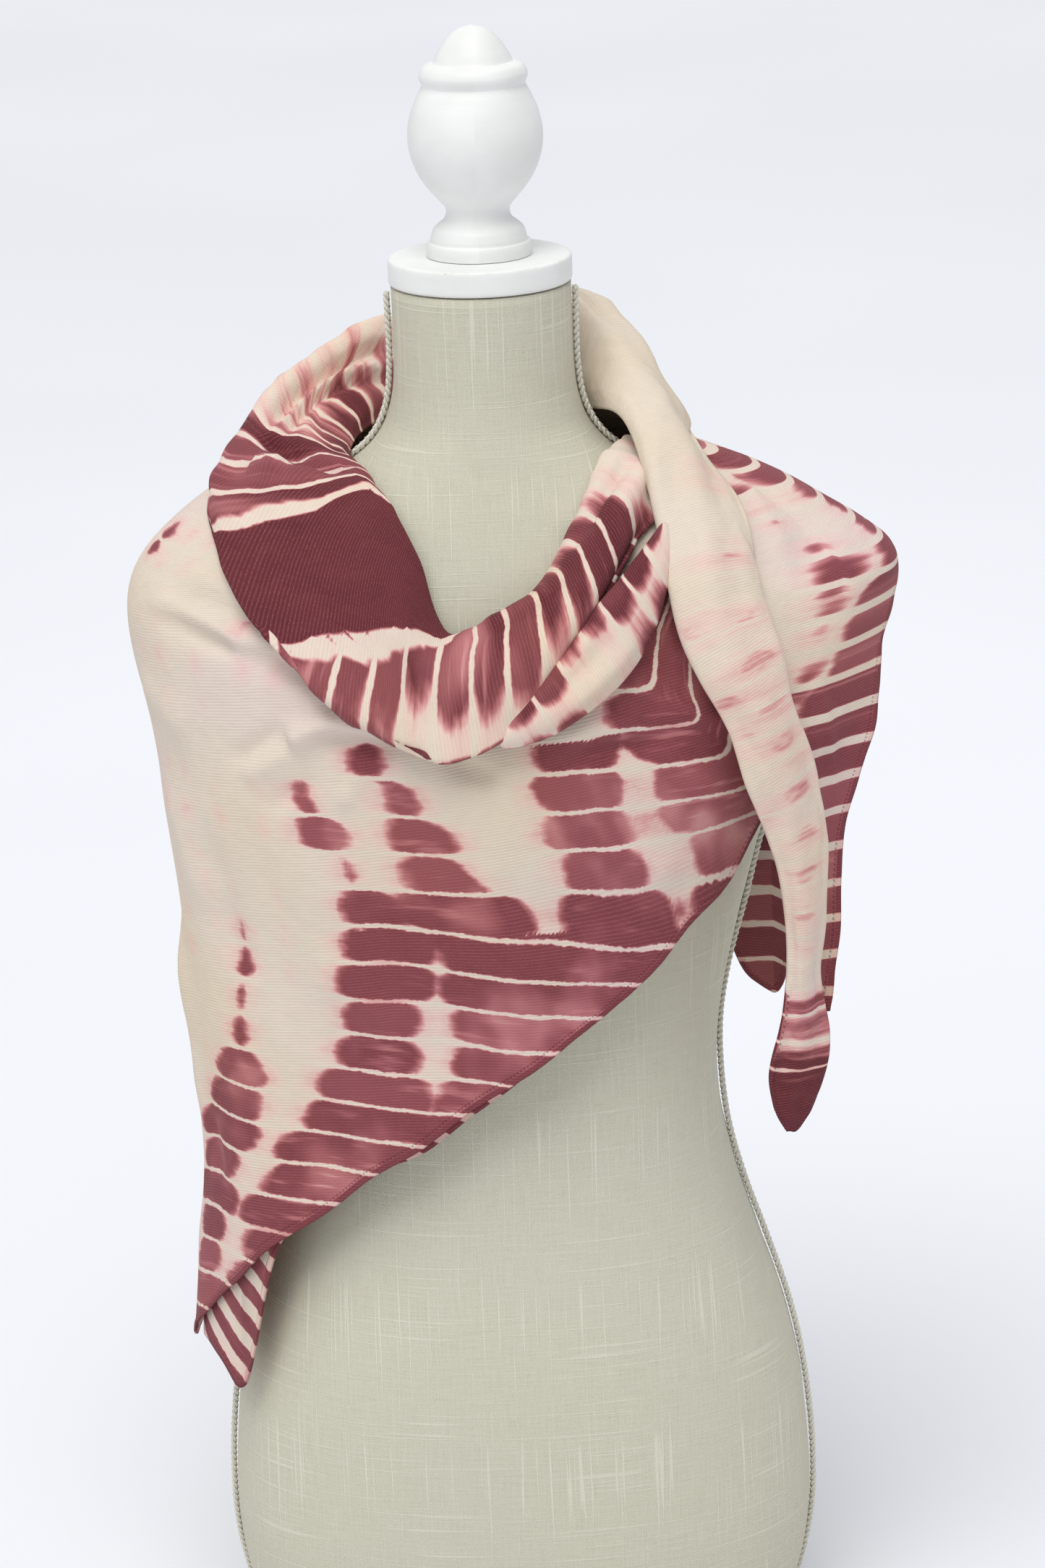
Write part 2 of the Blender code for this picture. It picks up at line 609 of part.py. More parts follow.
def cloth(name, grid, made_of, wall=WALL):
    """An open sheet of cloth, given its wall on the inner side."""
    grid = outward(grid) / 1000.0
    n, m = grid.shape[:2]
    faces = [
        (i * m + j, (i + 1) * m + j, (i + 1) * m + j + 1, i * m + j + 1)
        for i in range(n - 1)
        for j in range(m - 1)
    ]
    obj = mesh_object(name, grid.reshape(-1, 3), faces, made_of)
    shell = obj.modifiers.new("wall", "SOLIDIFY")
    shell.thickness = wall / 1000.0
    shell.offset = -1.0
    shell.use_even_offset = False
    shell.use_rim = True
    return obj


def turned(name, profile, steps, made_of):
    """A turned solid: its profile, carried round the axis."""
    mesh = bpy.data.meshes.new(name)
    points = [(r / 1000.0, 0.0, z / 1000.0) for r, z in profile]
    mesh.from_pydata(points, [(i, i + 1) for i in range(len(points) - 1)], [])
    mesh.materials.append(made_of)
    obj = bpy.data.objects.new(name, mesh)
    part.objects.link(obj)
    spin = obj.modifiers.new("turn", "SCREW")
    spin.steps = steps
    spin.render_steps = steps
    spin.use_merge_vertices = True
    spin.merge_threshold = 0.0001
    spin.use_smooth_shade = True
    return obj


def torso(name, made_of, around=48, rings=36):
    """The linen body: plan rings from a flat base to the neck, capped at both ends."""
    step = [row[0] for row in TORSO][::-1]
    z = np.interp(np.linspace(0, len(step) - 1, rings), range(len(step)), step)
    az = np.linspace(0, 2 * math.pi, around, endpoint=False)
    r = torso_radius(az[None, :], z[:, None])
    grid = polar(az[None, :] + 0 * r, r, z[:, None] + 0 * r) / 1000.0
    verts = [tuple(p) for p in grid.reshape(-1, 3)]
    faces = []
    for i in range(rings - 1):
        for j in range(around):
            k = (j + 1) % around
            faces.append(
                (i * around + j, i * around + k, (i + 1) * around + k, (i + 1) * around + j)
            )
    low, high = len(verts), len(verts) + 1
    verts += [(0.0, 0.0, z[0] / 1000.0), (0.0, 0.0, z[-1] / 1000.0)]
    top = (rings - 1) * around
    for j in range(around):
        k = (j + 1) % around
        faces.append((k, j, low))
        faces.append((top + j, top + k, high))
    return mesh_object(name, verts, faces, made_of)


def braid(name, side, made_of):
    """The cord down one side seam, lying on the linen, stopped where the cloth covers it."""
    curve = bpy.data.curves.new(name, "CURVE")
    curve.dimensions = "3D"
    curve.bevel_depth = BRAID_RADIUS / 1000.0
    curve.bevel_resolution = 1
    curve.resolution_u = 2
    curve.use_fill_caps = True
    heights = [818, 800, 782, 768, 757, 748, 741, 734, 728, 722.5, 717, 712, 707]
    heights += [701, 694, 686, 677, 667, 655, 640, 620, 595, 565, 530, 495, 460, 425]
    heights += [390, 355, 320, 285, 250, 216, 185, 150, 115, 80, 50, 30, 14, 5]
    spline = curve.splines.new("POLY")
    spline.points.add(len(heights) - 1)
    rows = at(TORSO, heights)
    lean = np.gradient(rows[:, 0]) / np.gradient(np.array(heights, float))
    nx = 1.0 / np.sqrt(1 + lean**2)
    nz = -lean / np.sqrt(1 + lean**2)
    off = BRAID_RADIUS + 0.8
    for point, z, r, a, c in zip(spline.points, heights, rows[:, 0], nx, nz):
        point.co = (side * (r + off * a) / 1000.0, 0.0, (z + off * c) / 1000.0, 1.0)
    curve.materials.append(made_of)
    obj = bpy.data.objects.new(name, curve)
    part.objects.link(obj)
    return obj


clear_scene()
part = bpy.data.collections.new("cashmere_shawl_on_form")
bpy.context.scene.collection.children.link(part)

linen = material("linen", (0.50, 0.47, 0.38), 0.85)
paint = material("paint", (0.88, 0.88, 0.86), 0.5)
cord = material("cord", (0.80, 0.77, 0.68), 0.8)
cream = material("twill_cream", (0.80, 0.70, 0.62), 0.8)
rose = material("twill_rose", (0.62, 0.36, 0.38), 0.8)
burgundy = material("twill_burgundy", (0.28, 0.06, 0.09), 0.8)

torso("form_torso", linen)
turned("form_disc", DISC, 48, paint)
turned("form_finial", FINIAL, 32, paint)
braid("form_braid_left", 1, cord)
braid("form_braid_right", -1, cord)

cloth("shawl_front", front_grid(34, 12), rose)
cloth("shawl_back", back_grid(34, 11), rose)
cloth("shawl_corner", corner_grid(15, 9), burgundy)
cloth("shawl_under", under_grid(46, 4), burgundy)
cloth("shawl_shoulder", shoulder_grid(9, 24), cream)
cloth("shawl_tail", tail_grid(12, 30, 11), cream)
cloth("shawl_cowl", cowl_grid(80.0, COWL_SPLIT + 0.25, 36, 13), rose)
cloth("shawl_collar", cowl_grid(COWL_SPLIT - 0.25, TAIL_SPLIT + 0.25, 24, 13), cream)
cloth("shawl_second_roll", lying_on(roll_grid(SECOND_ROLL, 13, 9), 2.6), rose)
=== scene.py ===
import math

import bpy
import numpy as np
from mathutils import Matrix, Vector


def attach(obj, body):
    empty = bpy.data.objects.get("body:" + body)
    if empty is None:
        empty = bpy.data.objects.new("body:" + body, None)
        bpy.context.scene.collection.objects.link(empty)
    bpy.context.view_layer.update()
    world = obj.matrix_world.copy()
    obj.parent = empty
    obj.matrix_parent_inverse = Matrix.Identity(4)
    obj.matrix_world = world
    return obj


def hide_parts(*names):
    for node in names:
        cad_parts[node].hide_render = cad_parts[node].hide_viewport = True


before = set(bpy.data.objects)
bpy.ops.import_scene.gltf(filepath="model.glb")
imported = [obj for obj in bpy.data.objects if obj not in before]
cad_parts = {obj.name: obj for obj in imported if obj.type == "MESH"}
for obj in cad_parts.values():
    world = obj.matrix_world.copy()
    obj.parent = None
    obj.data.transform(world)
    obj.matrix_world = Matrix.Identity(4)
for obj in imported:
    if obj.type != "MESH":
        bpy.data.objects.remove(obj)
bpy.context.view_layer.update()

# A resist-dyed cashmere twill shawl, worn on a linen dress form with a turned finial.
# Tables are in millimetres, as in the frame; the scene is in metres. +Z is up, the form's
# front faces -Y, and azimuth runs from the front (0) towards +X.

PART = bpy.data.collections.new("shawl_on_form")
bpy.context.scene.collection.children.link(PART)

WALL = 1.7  # the doubled twill, modelled as one wall
SEAM = 0.4  # between two stretches of the same cloth
TORSO_CLEAR = 8.0  # from the form to the outer face of the layer next to it
LAYER_CLEAR = 5.0  # from the outer face of one layer to that of the next

# ---------------------------------------------------------------- tables

# z, half width, front, back: plan sizes of the linen body
TORSO = [
    (822, 49.6, 49.6, 49.6),
    (790, 49.2, 49.2, 49.2),
    (765, 50.5, 50.0, 51.0),
    (748, 55.0, 53.0, 56.0),
    (735, 63.0, 56.5, 61.0),
    (722, 80.0, 61.0, 67.0),
    (708, 112.0, 68.0, 74.0),
    (692, 150.0, 76.0, 82.0),
    (675, 177.0, 84.0, 88.0),
    (655, 187.0, 92.0, 92.0),
    (630, 187.0, 100.0, 94.0),
    (600, 180.0, 109.0, 95.0),
    (565, 168.0, 115.0, 93.0),
    (530, 156.0, 111.0, 88.0),
    (500, 146.5, 102.0, 83.0),
    (464, 137.5, 94.0, 77.0),
    (420, 126.0, 89.0, 73.0),
    (376, 120.0, 86.5, 71.0),
    (340, 121.5, 88.0, 73.0),
    (315, 125.5, 90.0, 77.0),
    (281, 134.5, 94.0, 85.0),
    (245, 146.5, 98.5, 96.0),
    (216, 155.5, 101.0, 105.0),
    (189, 162.0, 102.5, 112.0),
    (165, 166.0, 103.0, 117.0),
    (125, 169.8, 102.5, 121.0),
    (97, 170.8, 101.5, 121.0),
    (75, 169.6, 100.0, 119.5),
    (50, 165.5, 97.0, 116.0),
    (30, 160.0, 93.0, 111.5),
    (12, 152.5, 87.5, 105.0),
    (0, 145.0, 82.0, 99.0),
]
TORSO_POWER = 2.25

# radius, z: the turned finial, from its top down the outer side
FINIAL = [
    (0.0, 962.5),
    (8.0, 960.3),
    (14.0, 955.5),
    (19.0, 948.5),
    (21.7, 943.4),
    (23.4, 942.6),
    (27.4, 940.6),
    (29.4, 937.4),
    (29.5, 934.5),
    (28.3, 931.2),
    (28.6, 929.4),
    (31.2, 924.5),
    (34.6, 916.5),
    (36.8, 906.0),
    (36.2, 895.0),
    (33.0, 884.8),
    (28.2, 876.5),
    (22.2, 869.3),
    (18.2, 864.6),
    (17.4, 861.6),
    (18.6, 857.8),
    (22.6, 854.4),
    (24.9, 852.0),
    (26.2, 848.2),
    (26.6, 845.6),
    (28.2, 844.8),
    (28.9, 842.0),
    (28.9, 837.6),
    (0.0, 837.6),
]

# radius, z: the turned disc under it
DISC = [
    (0.0, 837.2),
    (49.2, 837.2),
    (50.1, 836.6),
    (50.5, 835.4),
    (50.5, 824.6),
    (50.1, 823.4),
    (49.2, 822.9),
    (0.0, 822.9),
]

# z, left, right under, right over, front, back under, back over:
# plan sizes of the shawl where it hangs, its lower and its upper layer
DRAPE = [
    (800, 64.0, 60.0, 72.0, 56.0, 56.0, 70.0),
    (775, 66.0, 62.0, 72.0, 56.5, 56.5, 70.0),
    (752, 74.0, 66.0, 76.0, 58.0, 58.0, 71.0),
    (745, 85.0, 74.0, 85.0, 61.0, 61.0, 74.0),
    (738, 100.0, 84.0, 96.0, 64.0, 65.0, 77.0),
    (728, 125.0, 98.0, 112.0, 69.0, 71.0, 84.0),
    (716, 150.0, 121.0, 142.0, 75.0, 78.0, 91.0),
    (703, 168.0, 148.0, 168.0, 83.0, 85.0, 97.0),
    (690, 184.0, 171.0, 189.0, 90.0, 91.0, 102.0),
    (678, 196.0, 188.5, 208.0, 96.0, 96.0, 106.0),
    (666, 204.5, 194.0, 222.0, 103.0, 100.0, 109.0),
    (655, 207.0, 198.0, 226.0, 110.0, 102.0, 111.0),
    (630, 204.0, 198.0, 223.0, 120.0, 103.0, 113.0),
    (600, 196.0, 191.0, 215.0, 126.0, 104.0, 114.0),
    (560, 190.5, 178.0, 206.0, 129.0, 102.0, 114.0),
    (525, 187.7, 166.0, 198.0, 127.0, 98.0, 113.0),
    (480, 185.0, 154.0, 190.0, 122.0, 94.0, 112.0),
    (438, 182.7, 146.0, 184.0, 118.0, 92.0, 111.0),
    (400, 180.6, 142.0, 180.0, 116.0, 90.0, 111.0),
    (350, 180.0, 142.0, 178.0, 114.0, 92.0, 113.0),
    (300, 181.5, 146.0, 180.0, 113.0, 98.0, 118.0),
    (250, 187.0, 160.0, 184.0, 116.0, 108.0, 124.0),
    (200, 190.5, 172.0, 188.0, 120.0, 118.0, 129.0),
    (150, 192.0, 178.0, 190.0, 122.0, 124.0, 132.0),
]
DRAPE_POWER = 2.12

# azimuth, hem z, top z: the front fall, from the apex at the side to the far shoulder
FRONT = [
    (-96.0, 197.0, 736.0),
    (-91.0, 196.0, 734.0),
    (-86.0, 208.0, 729.0),
    (-79.0, 228.0, 722.0),
    (-75.0, 242.0, 716.0),
    (-70.0, 256.0, 708.0),
    (-61.0, 284.0, 696.0),
    (-48.0, 313.0, 673.0),
    (-37.0, 337.0, 655.0),
    (-23.0, 358.0, 637.0),
    (-12.0, 377.0, 622.0),
    (0.0, 393.0, 628.0),
    (17.0, 418.0, 652.0),
    (29.0, 435.0, 676.0),
    (39.0, 455.0, 690.0),
    (48.0, 479.0, 703.0),
    (59.0, 495.0, 712.0),
    (65.0, 530.0, 716.0),
    (72.0, 566.0, 718.0),
    (80.0, 592.0, 718.0),
]

# azimuth, hem z, top z: the other corner, hanging behind the far shoulder
CORNER = [
    (80.6, 594.0, 717.0),
    (88.0, 588.0, 715.0),
    (94.0, 546.0, 714.0),
    (98.0, 496.0, 713.0),
    (101.5, 438.0, 713.0),
    (104.5, 396.0, 713.0),
    (107.5, 381.0, 714.0),
    (111.5, 386.0, 714.0),
    (117.0, 407.0, 716.0),
    (123.0, 446.0, 718.0),
    (130.0, 500.0, 720.0),
    (138.0, 565.0, 723.0),
    (145.0, 625.0, 726.0),
    (150.0, 690.0, 729.0),
]

# z, right, back: where that corner hangs free, straight down from the shoulder
CORNER_FALL = [
    (760, 60.0, 56.0),
    (655, 198.0, 102.0),
    (630, 198.0, 103.0),
    (600, 194.0, 104.0),
    (560, 189.0, 105.0),
    (520, 184.5, 106.0),
    (480, 180.0, 106.0),
    (430, 175.5, 106.0),
    (370, 171.0, 106.0),
]

# azimuth, hem z, top z: the back fall, from the apex round to the far shoulder
BACK = [
    (-96.6, 197.0, 736.0),
    (-107.0, 235.0, 738.0),
    (-120.0, 276.0, 741.0),
    (-140.0, 326.0, 745.0),
    (-160.0, 369.0, 748.0),
    (-180.0, 411.0, 751.0),
    (-200.0, 453.0, 754.0),
    (-212.0, 482.0, 756.0),
    (-222.0, 508.0, 756.0),
    (-232.0, 536.0, 753.0),
    (-240.0, 560.0, 750.0),
    (-250.0, 594.0, 745.0),
    (-260.0, 633.0, 740.0),
    (-267.4, 664.0, 735.0),
]

# azimuth, how far below the outer hem it ends, its height, inset: the under layer
UNDER = [
    (-106.0, -12.0, 46.0, 9.0),
    (-100.0, -4.0, 52.0, 9.5),
    (-93.0, -2.0, 60.0, 7.0),
    (-88.0, 2.0, 66.0, 6.0),
    (-85.0, 6.0, 74.0, 5.6),
    (-81.0, 16.0, 84.0, 5.4),
    (-77.0, 33.0, 98.0, 5.4),
    (-73.5, 51.0, 112.0, 5.4),
    (-70.5, 66.0, 122.0, 5.4),
    (-68.8, 68.0, 122.0, 5.3),
    (-66.5, 55.0, 108.0, 5.2),
    (-64.0, 30.0, 84.0, 5.0),
    (-61.5, 6.0, 58.0, 4.8),
    (-58.0, -4.0, 44.0, 4.6),
    (-40.0, -4.0, 36.0, 4.4),
    (-26.0, 3.0, 36.0, 4.2),
    (-12.0, 4.5, 36.0, 4.2),
    (0.0, 3.0, 34.0, 4.2),
    (14.0, -4.0, 30.0, 4.2),
    (30.0, -5.0, 26.0, 4.2),
]

# z, azimuth and inset or radius of the inner edge, azimuth and radius of the hem:
# the panel over the far shoulder, down beside the hanging end
SHOULDER = [
    (736.0, 86.0, 92.0, 91.8, 98.0),
    (722.0, 79.0, 99.0, 91.8, 126.0),
    (702.0, 68.0, 122.0, 91.8, 165.0),
    (680.0, 59.0, 141.0, 91.8, 203.0),
    (664.0, 55.5, 150.0, 91.0, 225.0),
    (654.0, 54.5, 155.0, 88.0, 226.0),
    (635.0, 54.0, 163.0, 84.5, 223.5),
    (619.0, 54.5, 168.0, 81.5, 219.0),
    (604.0, 55.5, 171.0, 79.0, 218.0),
    (582.0, 57.0, 174.0, 77.0, 217.0),
    (563.0, 58.5, 176.0, 75.0, 212.0),
    (544.0, 59.5, 178.0, 73.0, 207.0),
    (520.0, 60.5, 180.0, 71.0, 202.0),
    (488.0, 61.5, 180.0, 70.0, 201.0),
    (465.0, 62.0, 180.0, 69.2, 201.5),
    (441.0, 62.0, 180.0, 68.0, 199.0),
    (418.0, 62.0, 180.0, 66.6, 197.0),
]

# x, y, z, half width, half depth: the rolled end that hangs in front of the far shoulder
TAIL = [
    (88.0, -11.0, 748.0, 20.0, 14.5),
    (96.3, -29.0, 737.5, 20.8, 13.5),
    (103.0, -47.0, 722.5, 21.8, 12.5),
    (110.5, -67.0, 703.0, 23.0, 11.5),
    (118.0, -88.0, 677.5, 25.5, 11.0),
    (124.1, -101.0, 653.1, 26.8, 11.0),
    (133.0, -108.0, 630.7, 24.4, 10.5),
    (142.2, -110.0, 606.4, 20.6, 10.0),
    (148.6, -110.0, 584.3, 19.9, 9.0),
    (156.1, -107.0, 557.7, 19.6, 8.5),
    (161.3, -104.0, 536.4, 18.4, 8.5),
    (164.9, -102.0, 513.2, 15.4, 8.0),
    (165.8, -99.0, 481.6, 11.8, 7.5),
    (164.8, -97.0, 454.4, 9.8, 7.0),
    (164.8, -95.0, 431.7, 12.5, 6.0),
    (164.6, -94.0, 412.6, 16.4, 5.0),
    (161.0, -93.0, 387.7, 18.6, 4.5),
    (159.1, -92.0, 366.1, 13.0, 4.2),
    (158.1, -91.0, 352.6, 4.6, 3.4),
]

# azimuth, then r and z of foot, inner, ridge, middle, lower edge and tuck:
# the cowl across the front (first rows) and the collar behind the neck (last rows)
COWL = [
    (80.0, 76.0, 724.0, 74.0, 730.0, 77.0, 736.5, 86.0, 736.0, 94.0, 729.5, 91.0, 727.0),
    (71.0, 73.0, 721.0, 72.0, 728.0, 75.5, 735.5, 88.0, 734.0, 98.0, 723.5, 93.0, 720.5),
    (63.0, 71.0, 718.0, 71.0, 727.0, 75.0, 734.0, 92.0, 731.0, 103.0, 717.0, 97.0, 713.5),
    (45.0, 77.0, 706.0, 76.0, 715.0, 80.0, 722.5, 100.0, 721.0, 116.0, 698.0, 107.0, 695.0),
    (30.0, 86.0, 683.0, 85.0, 693.0, 89.5, 701.5, 109.0, 701.0, 126.5, 671.0, 117.0, 669.0),
    (15.0, 95.0, 655.0, 94.0, 665.0, 97.5, 674.5, 118.0, 674.0, 136.0, 637.0, 127.0, 636.0),
    (0.0, 101.0, 638.0, 99.5, 650.0, 101.5, 660.5, 124.0, 657.0, 143.5, 601.0, 133.0, 602.5),
    (-13.0, 108.0, 626.0, 105.0, 639.0, 106.5, 650.5, 127.0, 640.0, 147.0, 592.5, 136.0, 596.0),
    (-24.0, 101.0, 662.0, 95.0, 678.0, 95.0, 690.0, 125.0, 661.0, 149.0, 604.0, 140.0, 608.0),
    (-35.0, 94.0, 688.0, 88.5, 700.0, 88.0, 710.0, 122.0, 682.0, 154.0, 624.5, 146.0, 629.0),
    (-46.0, 88.0, 704.0, 83.0, 713.0, 84.0, 721.5, 120.0, 699.0, 157.5, 647.0, 151.0, 650.0),
    (-58.0, 80.0, 716.0, 78.0, 723.0, 81.5, 729.5, 120.0, 715.0, 160.5, 671.0, 155.0, 672.0),
    (-70.0, 76.0, 725.0, 77.0, 729.5, 84.5, 733.5, 123.0, 729.0, 158.5, 697.0, 154.0, 696.0),
    (-82.0, 76.0, 730.0, 79.0, 734.0, 92.0, 739.0, 124.0, 740.0, 152.5, 717.0, 148.0, 714.0),
    (-92.0, 74.0, 733.0, 80.0, 738.5, 97.0, 746.0, 123.0, 750.0, 144.5, 734.0, 140.0, 729.0),
    (-100.0, 72.0, 735.5, 78.0, 743.0, 98.0, 754.5, 118.0, 758.0, 137.0, 742.0, 131.0, 735.5),
    (-110.0, 68.5, 738.0, 74.0, 749.0, 93.0, 765.0, 110.0, 766.0, 127.0, 748.0, 121.0, 741.5),
    (-122.0, 65.0, 740.0, 68.5, 755.0, 84.5, 777.5, 99.5, 775.0, 115.5, 752.0, 109.0, 746.5),
    (-136.0, 62.5, 742.0, 63.5, 760.0, 76.0, 789.0, 91.0, 783.0, 106.0, 755.0, 99.0, 750.0),
    (-158.0, 61.5, 743.0, 61.0, 763.0, 71.5, 797.5, 86.0, 790.0, 100.0, 757.0, 93.0, 752.0),
    (-180.0, 61.0, 743.5, 60.5, 765.0, 70.5, 801.0, 85.0, 793.0, 99.0, 758.0, 92.0, 753.0),
    (-198.0, 61.0, 745.5, 60.5, 767.5, 71.0, 803.5, 85.5, 797.0, 100.0, 763.0, 94.0, 757.0),
    (-212.0, 60.5, 748.0, 60.0, 770.0, 71.5, 805.5, 86.0, 800.0, 101.5, 768.0, 95.5, 761.5),
    (-224.0, 60.0, 749.0, 59.5, 771.0, 72.0, 805.0, 86.5, 799.0, 102.5, 769.0, 96.5, 762.0),
    (-236.0, 59.0, 747.0, 59.0, 769.0, 72.0, 799.0, 87.5, 791.0, 104.0, 762.0, 98.0, 756.0),
    (-248.0, 58.5, 745.0, 59.0, 765.0, 73.0, 790.0, 90.5, 780.0, 107.5, 752.0, 101.5, 747.0),
    (-258.0, 59.5, 745.0, 61.0, 763.0, 77.0, 780.0, 96.0, 769.0, 113.0, 743.0, 107.0, 739.0),
    (-267.0, 64.0, 748.0, 67.0, 761.0, 84.0, 769.5, 103.5, 757.5, 120.0, 733.0, 114.0, 730.0),
]
COWL_SPLIT = -100.0  # azimuth where the cowl hands over to the collar
TAIL_SPLIT = -224.0  # and where the collar comes forward as the hanging end

# x, y, z, half width, half depth: the second roll, under the cowl
SECOND_ROLL = [
    (12.0, -135.0, 597.0, 4.5, 4.0),
    (19.5, -136.0, 602.5, 8.0, 6.3),
    (30.0, -135.4, 610.5, 11.0, 8.0),
    (43.2, -132.2, 621.0, 14.2, 9.0),
    (60.2, -125.2, 637.5, 16.2, 9.6),
    (74.0, -115.4, 655.0, 15.5, 9.4),
    (82.0, -106.0, 668.5, 11.5, 7.8),
    (86.0, -99.5, 679.5, 7.0, 5.0),
]

BRAID_RADIUS = 2.3


# ---------------------------------------------------------------- reading the tables


def at(table, key):
    """The rows of a table at any value of its first column, joined by a monotone cubic."""
    rows = np.asarray(table, float)
    rows = rows[np.argsort(rows[:, 0])]
    keys, values = rows[:, 0], rows[:, 1:]
    span = np.diff(keys)[:, None]
    slope = np.diff(values, axis=0) / span
    before, after = slope[:-1], slope[1:]
    w1, w2 = 2 * span[1:] + span[:-1], span[1:] + 2 * span[:-1]
    same = before * after > 0
    mean = (w1 + w2) / (w1 / np.where(same, before, 1) + w2 / np.where(same, after, 1))
    tangent = np.vstack([slope[:1], np.where(same, mean, 0), slope[-1:]])
    key = np.clip(np.asarray(key, float), keys[0], keys[-1])
    i = np.clip(np.searchsorted(keys, key, side="right") - 1, 0, len(keys) - 2)
    h = span[i, 0][..., None]
    u = ((key - keys[i]) / span[i, 0])[..., None]
    return (
        values[i] * (1 + 2 * u) * (1 - u) ** 2
        + tangent[i] * h * u * (1 - u) ** 2
        + values[i + 1] * u**2 * (3 - 2 * u)
        + tangent[i + 1] * h * u**2 * (u - 1)
    )


def along(rows, t):
    """A smooth curve through the rows; t runs 0..1 by the row's number."""
    rows = np.asarray(rows, float)
    last = len(rows) - 1
    x = np.clip(np.asarray(t, float), 0, 1) * last
    i = np.clip(np.floor(x).astype(int), 0, last - 1)
    f = (x - i)[..., None]
    a, b = rows[i], rows[i + 1]
    before = np.where((i > 0)[..., None], rows[np.maximum(i - 1, 0)], 2 * a - b)
    after = np.where((i + 2 <= last)[..., None], rows[np.minimum(i + 2, last)], 2 * b - a)
    return 0.5 * (
        2 * a
        + (b - before) * f
        + (2 * before - 5 * a + 4 * b - after) * f**2
        + (3 * a - before - 3 * b + after) * f**3
    )


def plan_radius(az, left, right, front, back, power):
    side = np.where(np.sin(az) > 0, right, left)
    depth = np.where(np.cos(az) > 0, front, back)
    return (np.abs(np.sin(az) / side) ** power + np.abs(np.cos(az) / depth) ** power) ** (
        -1.0 / power
    )


def polar(az, r, z):
    az, r, z = np.broadcast_arrays(az, r, z)
    return np.stack([r * np.sin(az), -r * np.cos(az), z], axis=-1)


def smoothstep(low, high, x):
    t = np.clip((np.asarray(x, float) - low) / (high - low), 0, 1)
    return t * t * (3 - 2 * t)


# ---------------------------------------------------------------- surfaces


def torso_radius(az, z):
    size = at(TORSO, z)
    power = np.where(np.asarray(z) > 740, 2.0, TORSO_POWER)
    return plan_radius(az, size[..., 0], size[..., 0], size[..., 1], size[..., 2], power)


def under_radius(az, z):
    """The layer next to the form."""
    size = at(DRAPE, z)
    back = np.where(np.sin(az) > 0, size[..., 4], size[..., 5])
    r = plan_radius(az, size[..., 0], size[..., 1], size[..., 3], back, DRAPE_POWER)
    return np.maximum(r, torso_radius(az, z) + TORSO_CLEAR)


def over_radius(az, z):
    """The layer that crosses over it, behind and over the far shoulder."""
    size = at(DRAPE, z)
    r = plan_radius(az, size[..., 0], size[..., 2], size[..., 3], size[..., 5], DRAPE_POWER)
    far = smoothstep(-0.1, 0.25, np.sin(az))
    return np.maximum(r, under_radius(az, z) + LAYER_CLEAR * far)


def front_folds(az, z):
    """Soft falls of the front panel: a long one from the near shoulder, and slack by the hem."""
    deg = np.degrees(az)
    crease = 668.0 - 0.62 * (deg + 92.0) - 0.012 * (deg + 92.0) ** 2
    shoulder = 2.6 * np.exp(-(((z - crease - 9.0) / 11.0) ** 2)) - 2.2 * np.exp(
        -(((z - crease + 6.0) / 8.0) ** 2)
    )
    fade = smoothstep(-96.0, -84.0, deg) * (1 - smoothstep(-42.0, -26.0, deg))
    slack = 1.6 * np.sin((deg + 0.10 * z) * 0.16) * smoothstep(640.0, 420.0, z)
    return shoulder * fade + slack * smoothstep(-96.0, -80.0, deg)


def back_folds(az, z):
    """Soft falls from the shoulder blades, wider near the hem."""
    deg = np.degrees(az)
    edge = smoothstep(-96.6, -116.0, deg) * smoothstep(-268.0, -250.0, deg)
    deep = 1.2 + 5.0 * smoothstep(690.0, 430.0, z)
    wave = np.sin(np.radians(deg * 5.2 + 0.16 * z)) + 0.35 * np.sin(
        np.radians(deg * 9.7 - 0.21 * z + 40.0)
    )
    return deep * 0.8 * (wave + 0.75) * edge


def fall(table, start, end, across, down, surface, folds):
    """A hanging stretch: rings from its hem up to its hidden top edge."""
    az = np.linspace(start, end, across)
    edge = at(table, az)
    t = 1.0 - (1.0 - np.linspace(0, 1, down)) ** 1.5
    z = edge[:, :1] + (edge[:, 1:2] - edge[:, :1]) * t[None, :]
    a = np.radians(az)[:, None] + 0 * z
    r = surface(a, z) + (folds(a, z) if folds else 0)
    return polar(a, r, z)


def front_grid(across, down):
    def held(az, z):
        return np.maximum(under_radius(az, z) + front_folds(az, z), torso_radius(az, z) + 4.0)

    return fall(FRONT, FRONT[0][0], FRONT[-1][0], across, down, held, None)


def corner_grid(across, down):
    def held(az, z):
        size = at(CORNER_FALL, z)
        r = plan_radius(az, size[..., 0], size[..., 0], size[..., 1], size[..., 1], DRAPE_POWER)
        folds = 2.2 * np.sin(np.degrees(az) * 0.30 + z * 0.020) * smoothstep(640.0, 500.0, z)
        return np.where(z < 652.0, np.maximum(under_radius(az, z), r + folds), under_radius(az, z))

    return fall(CORNER, CORNER[0][0], CORNER[-1][0], across, down, held, None)


def back_grid(across, down):
    return fall(BACK, BACK[0][0], BACK[-1][0], across, down, over_radius, back_folds)


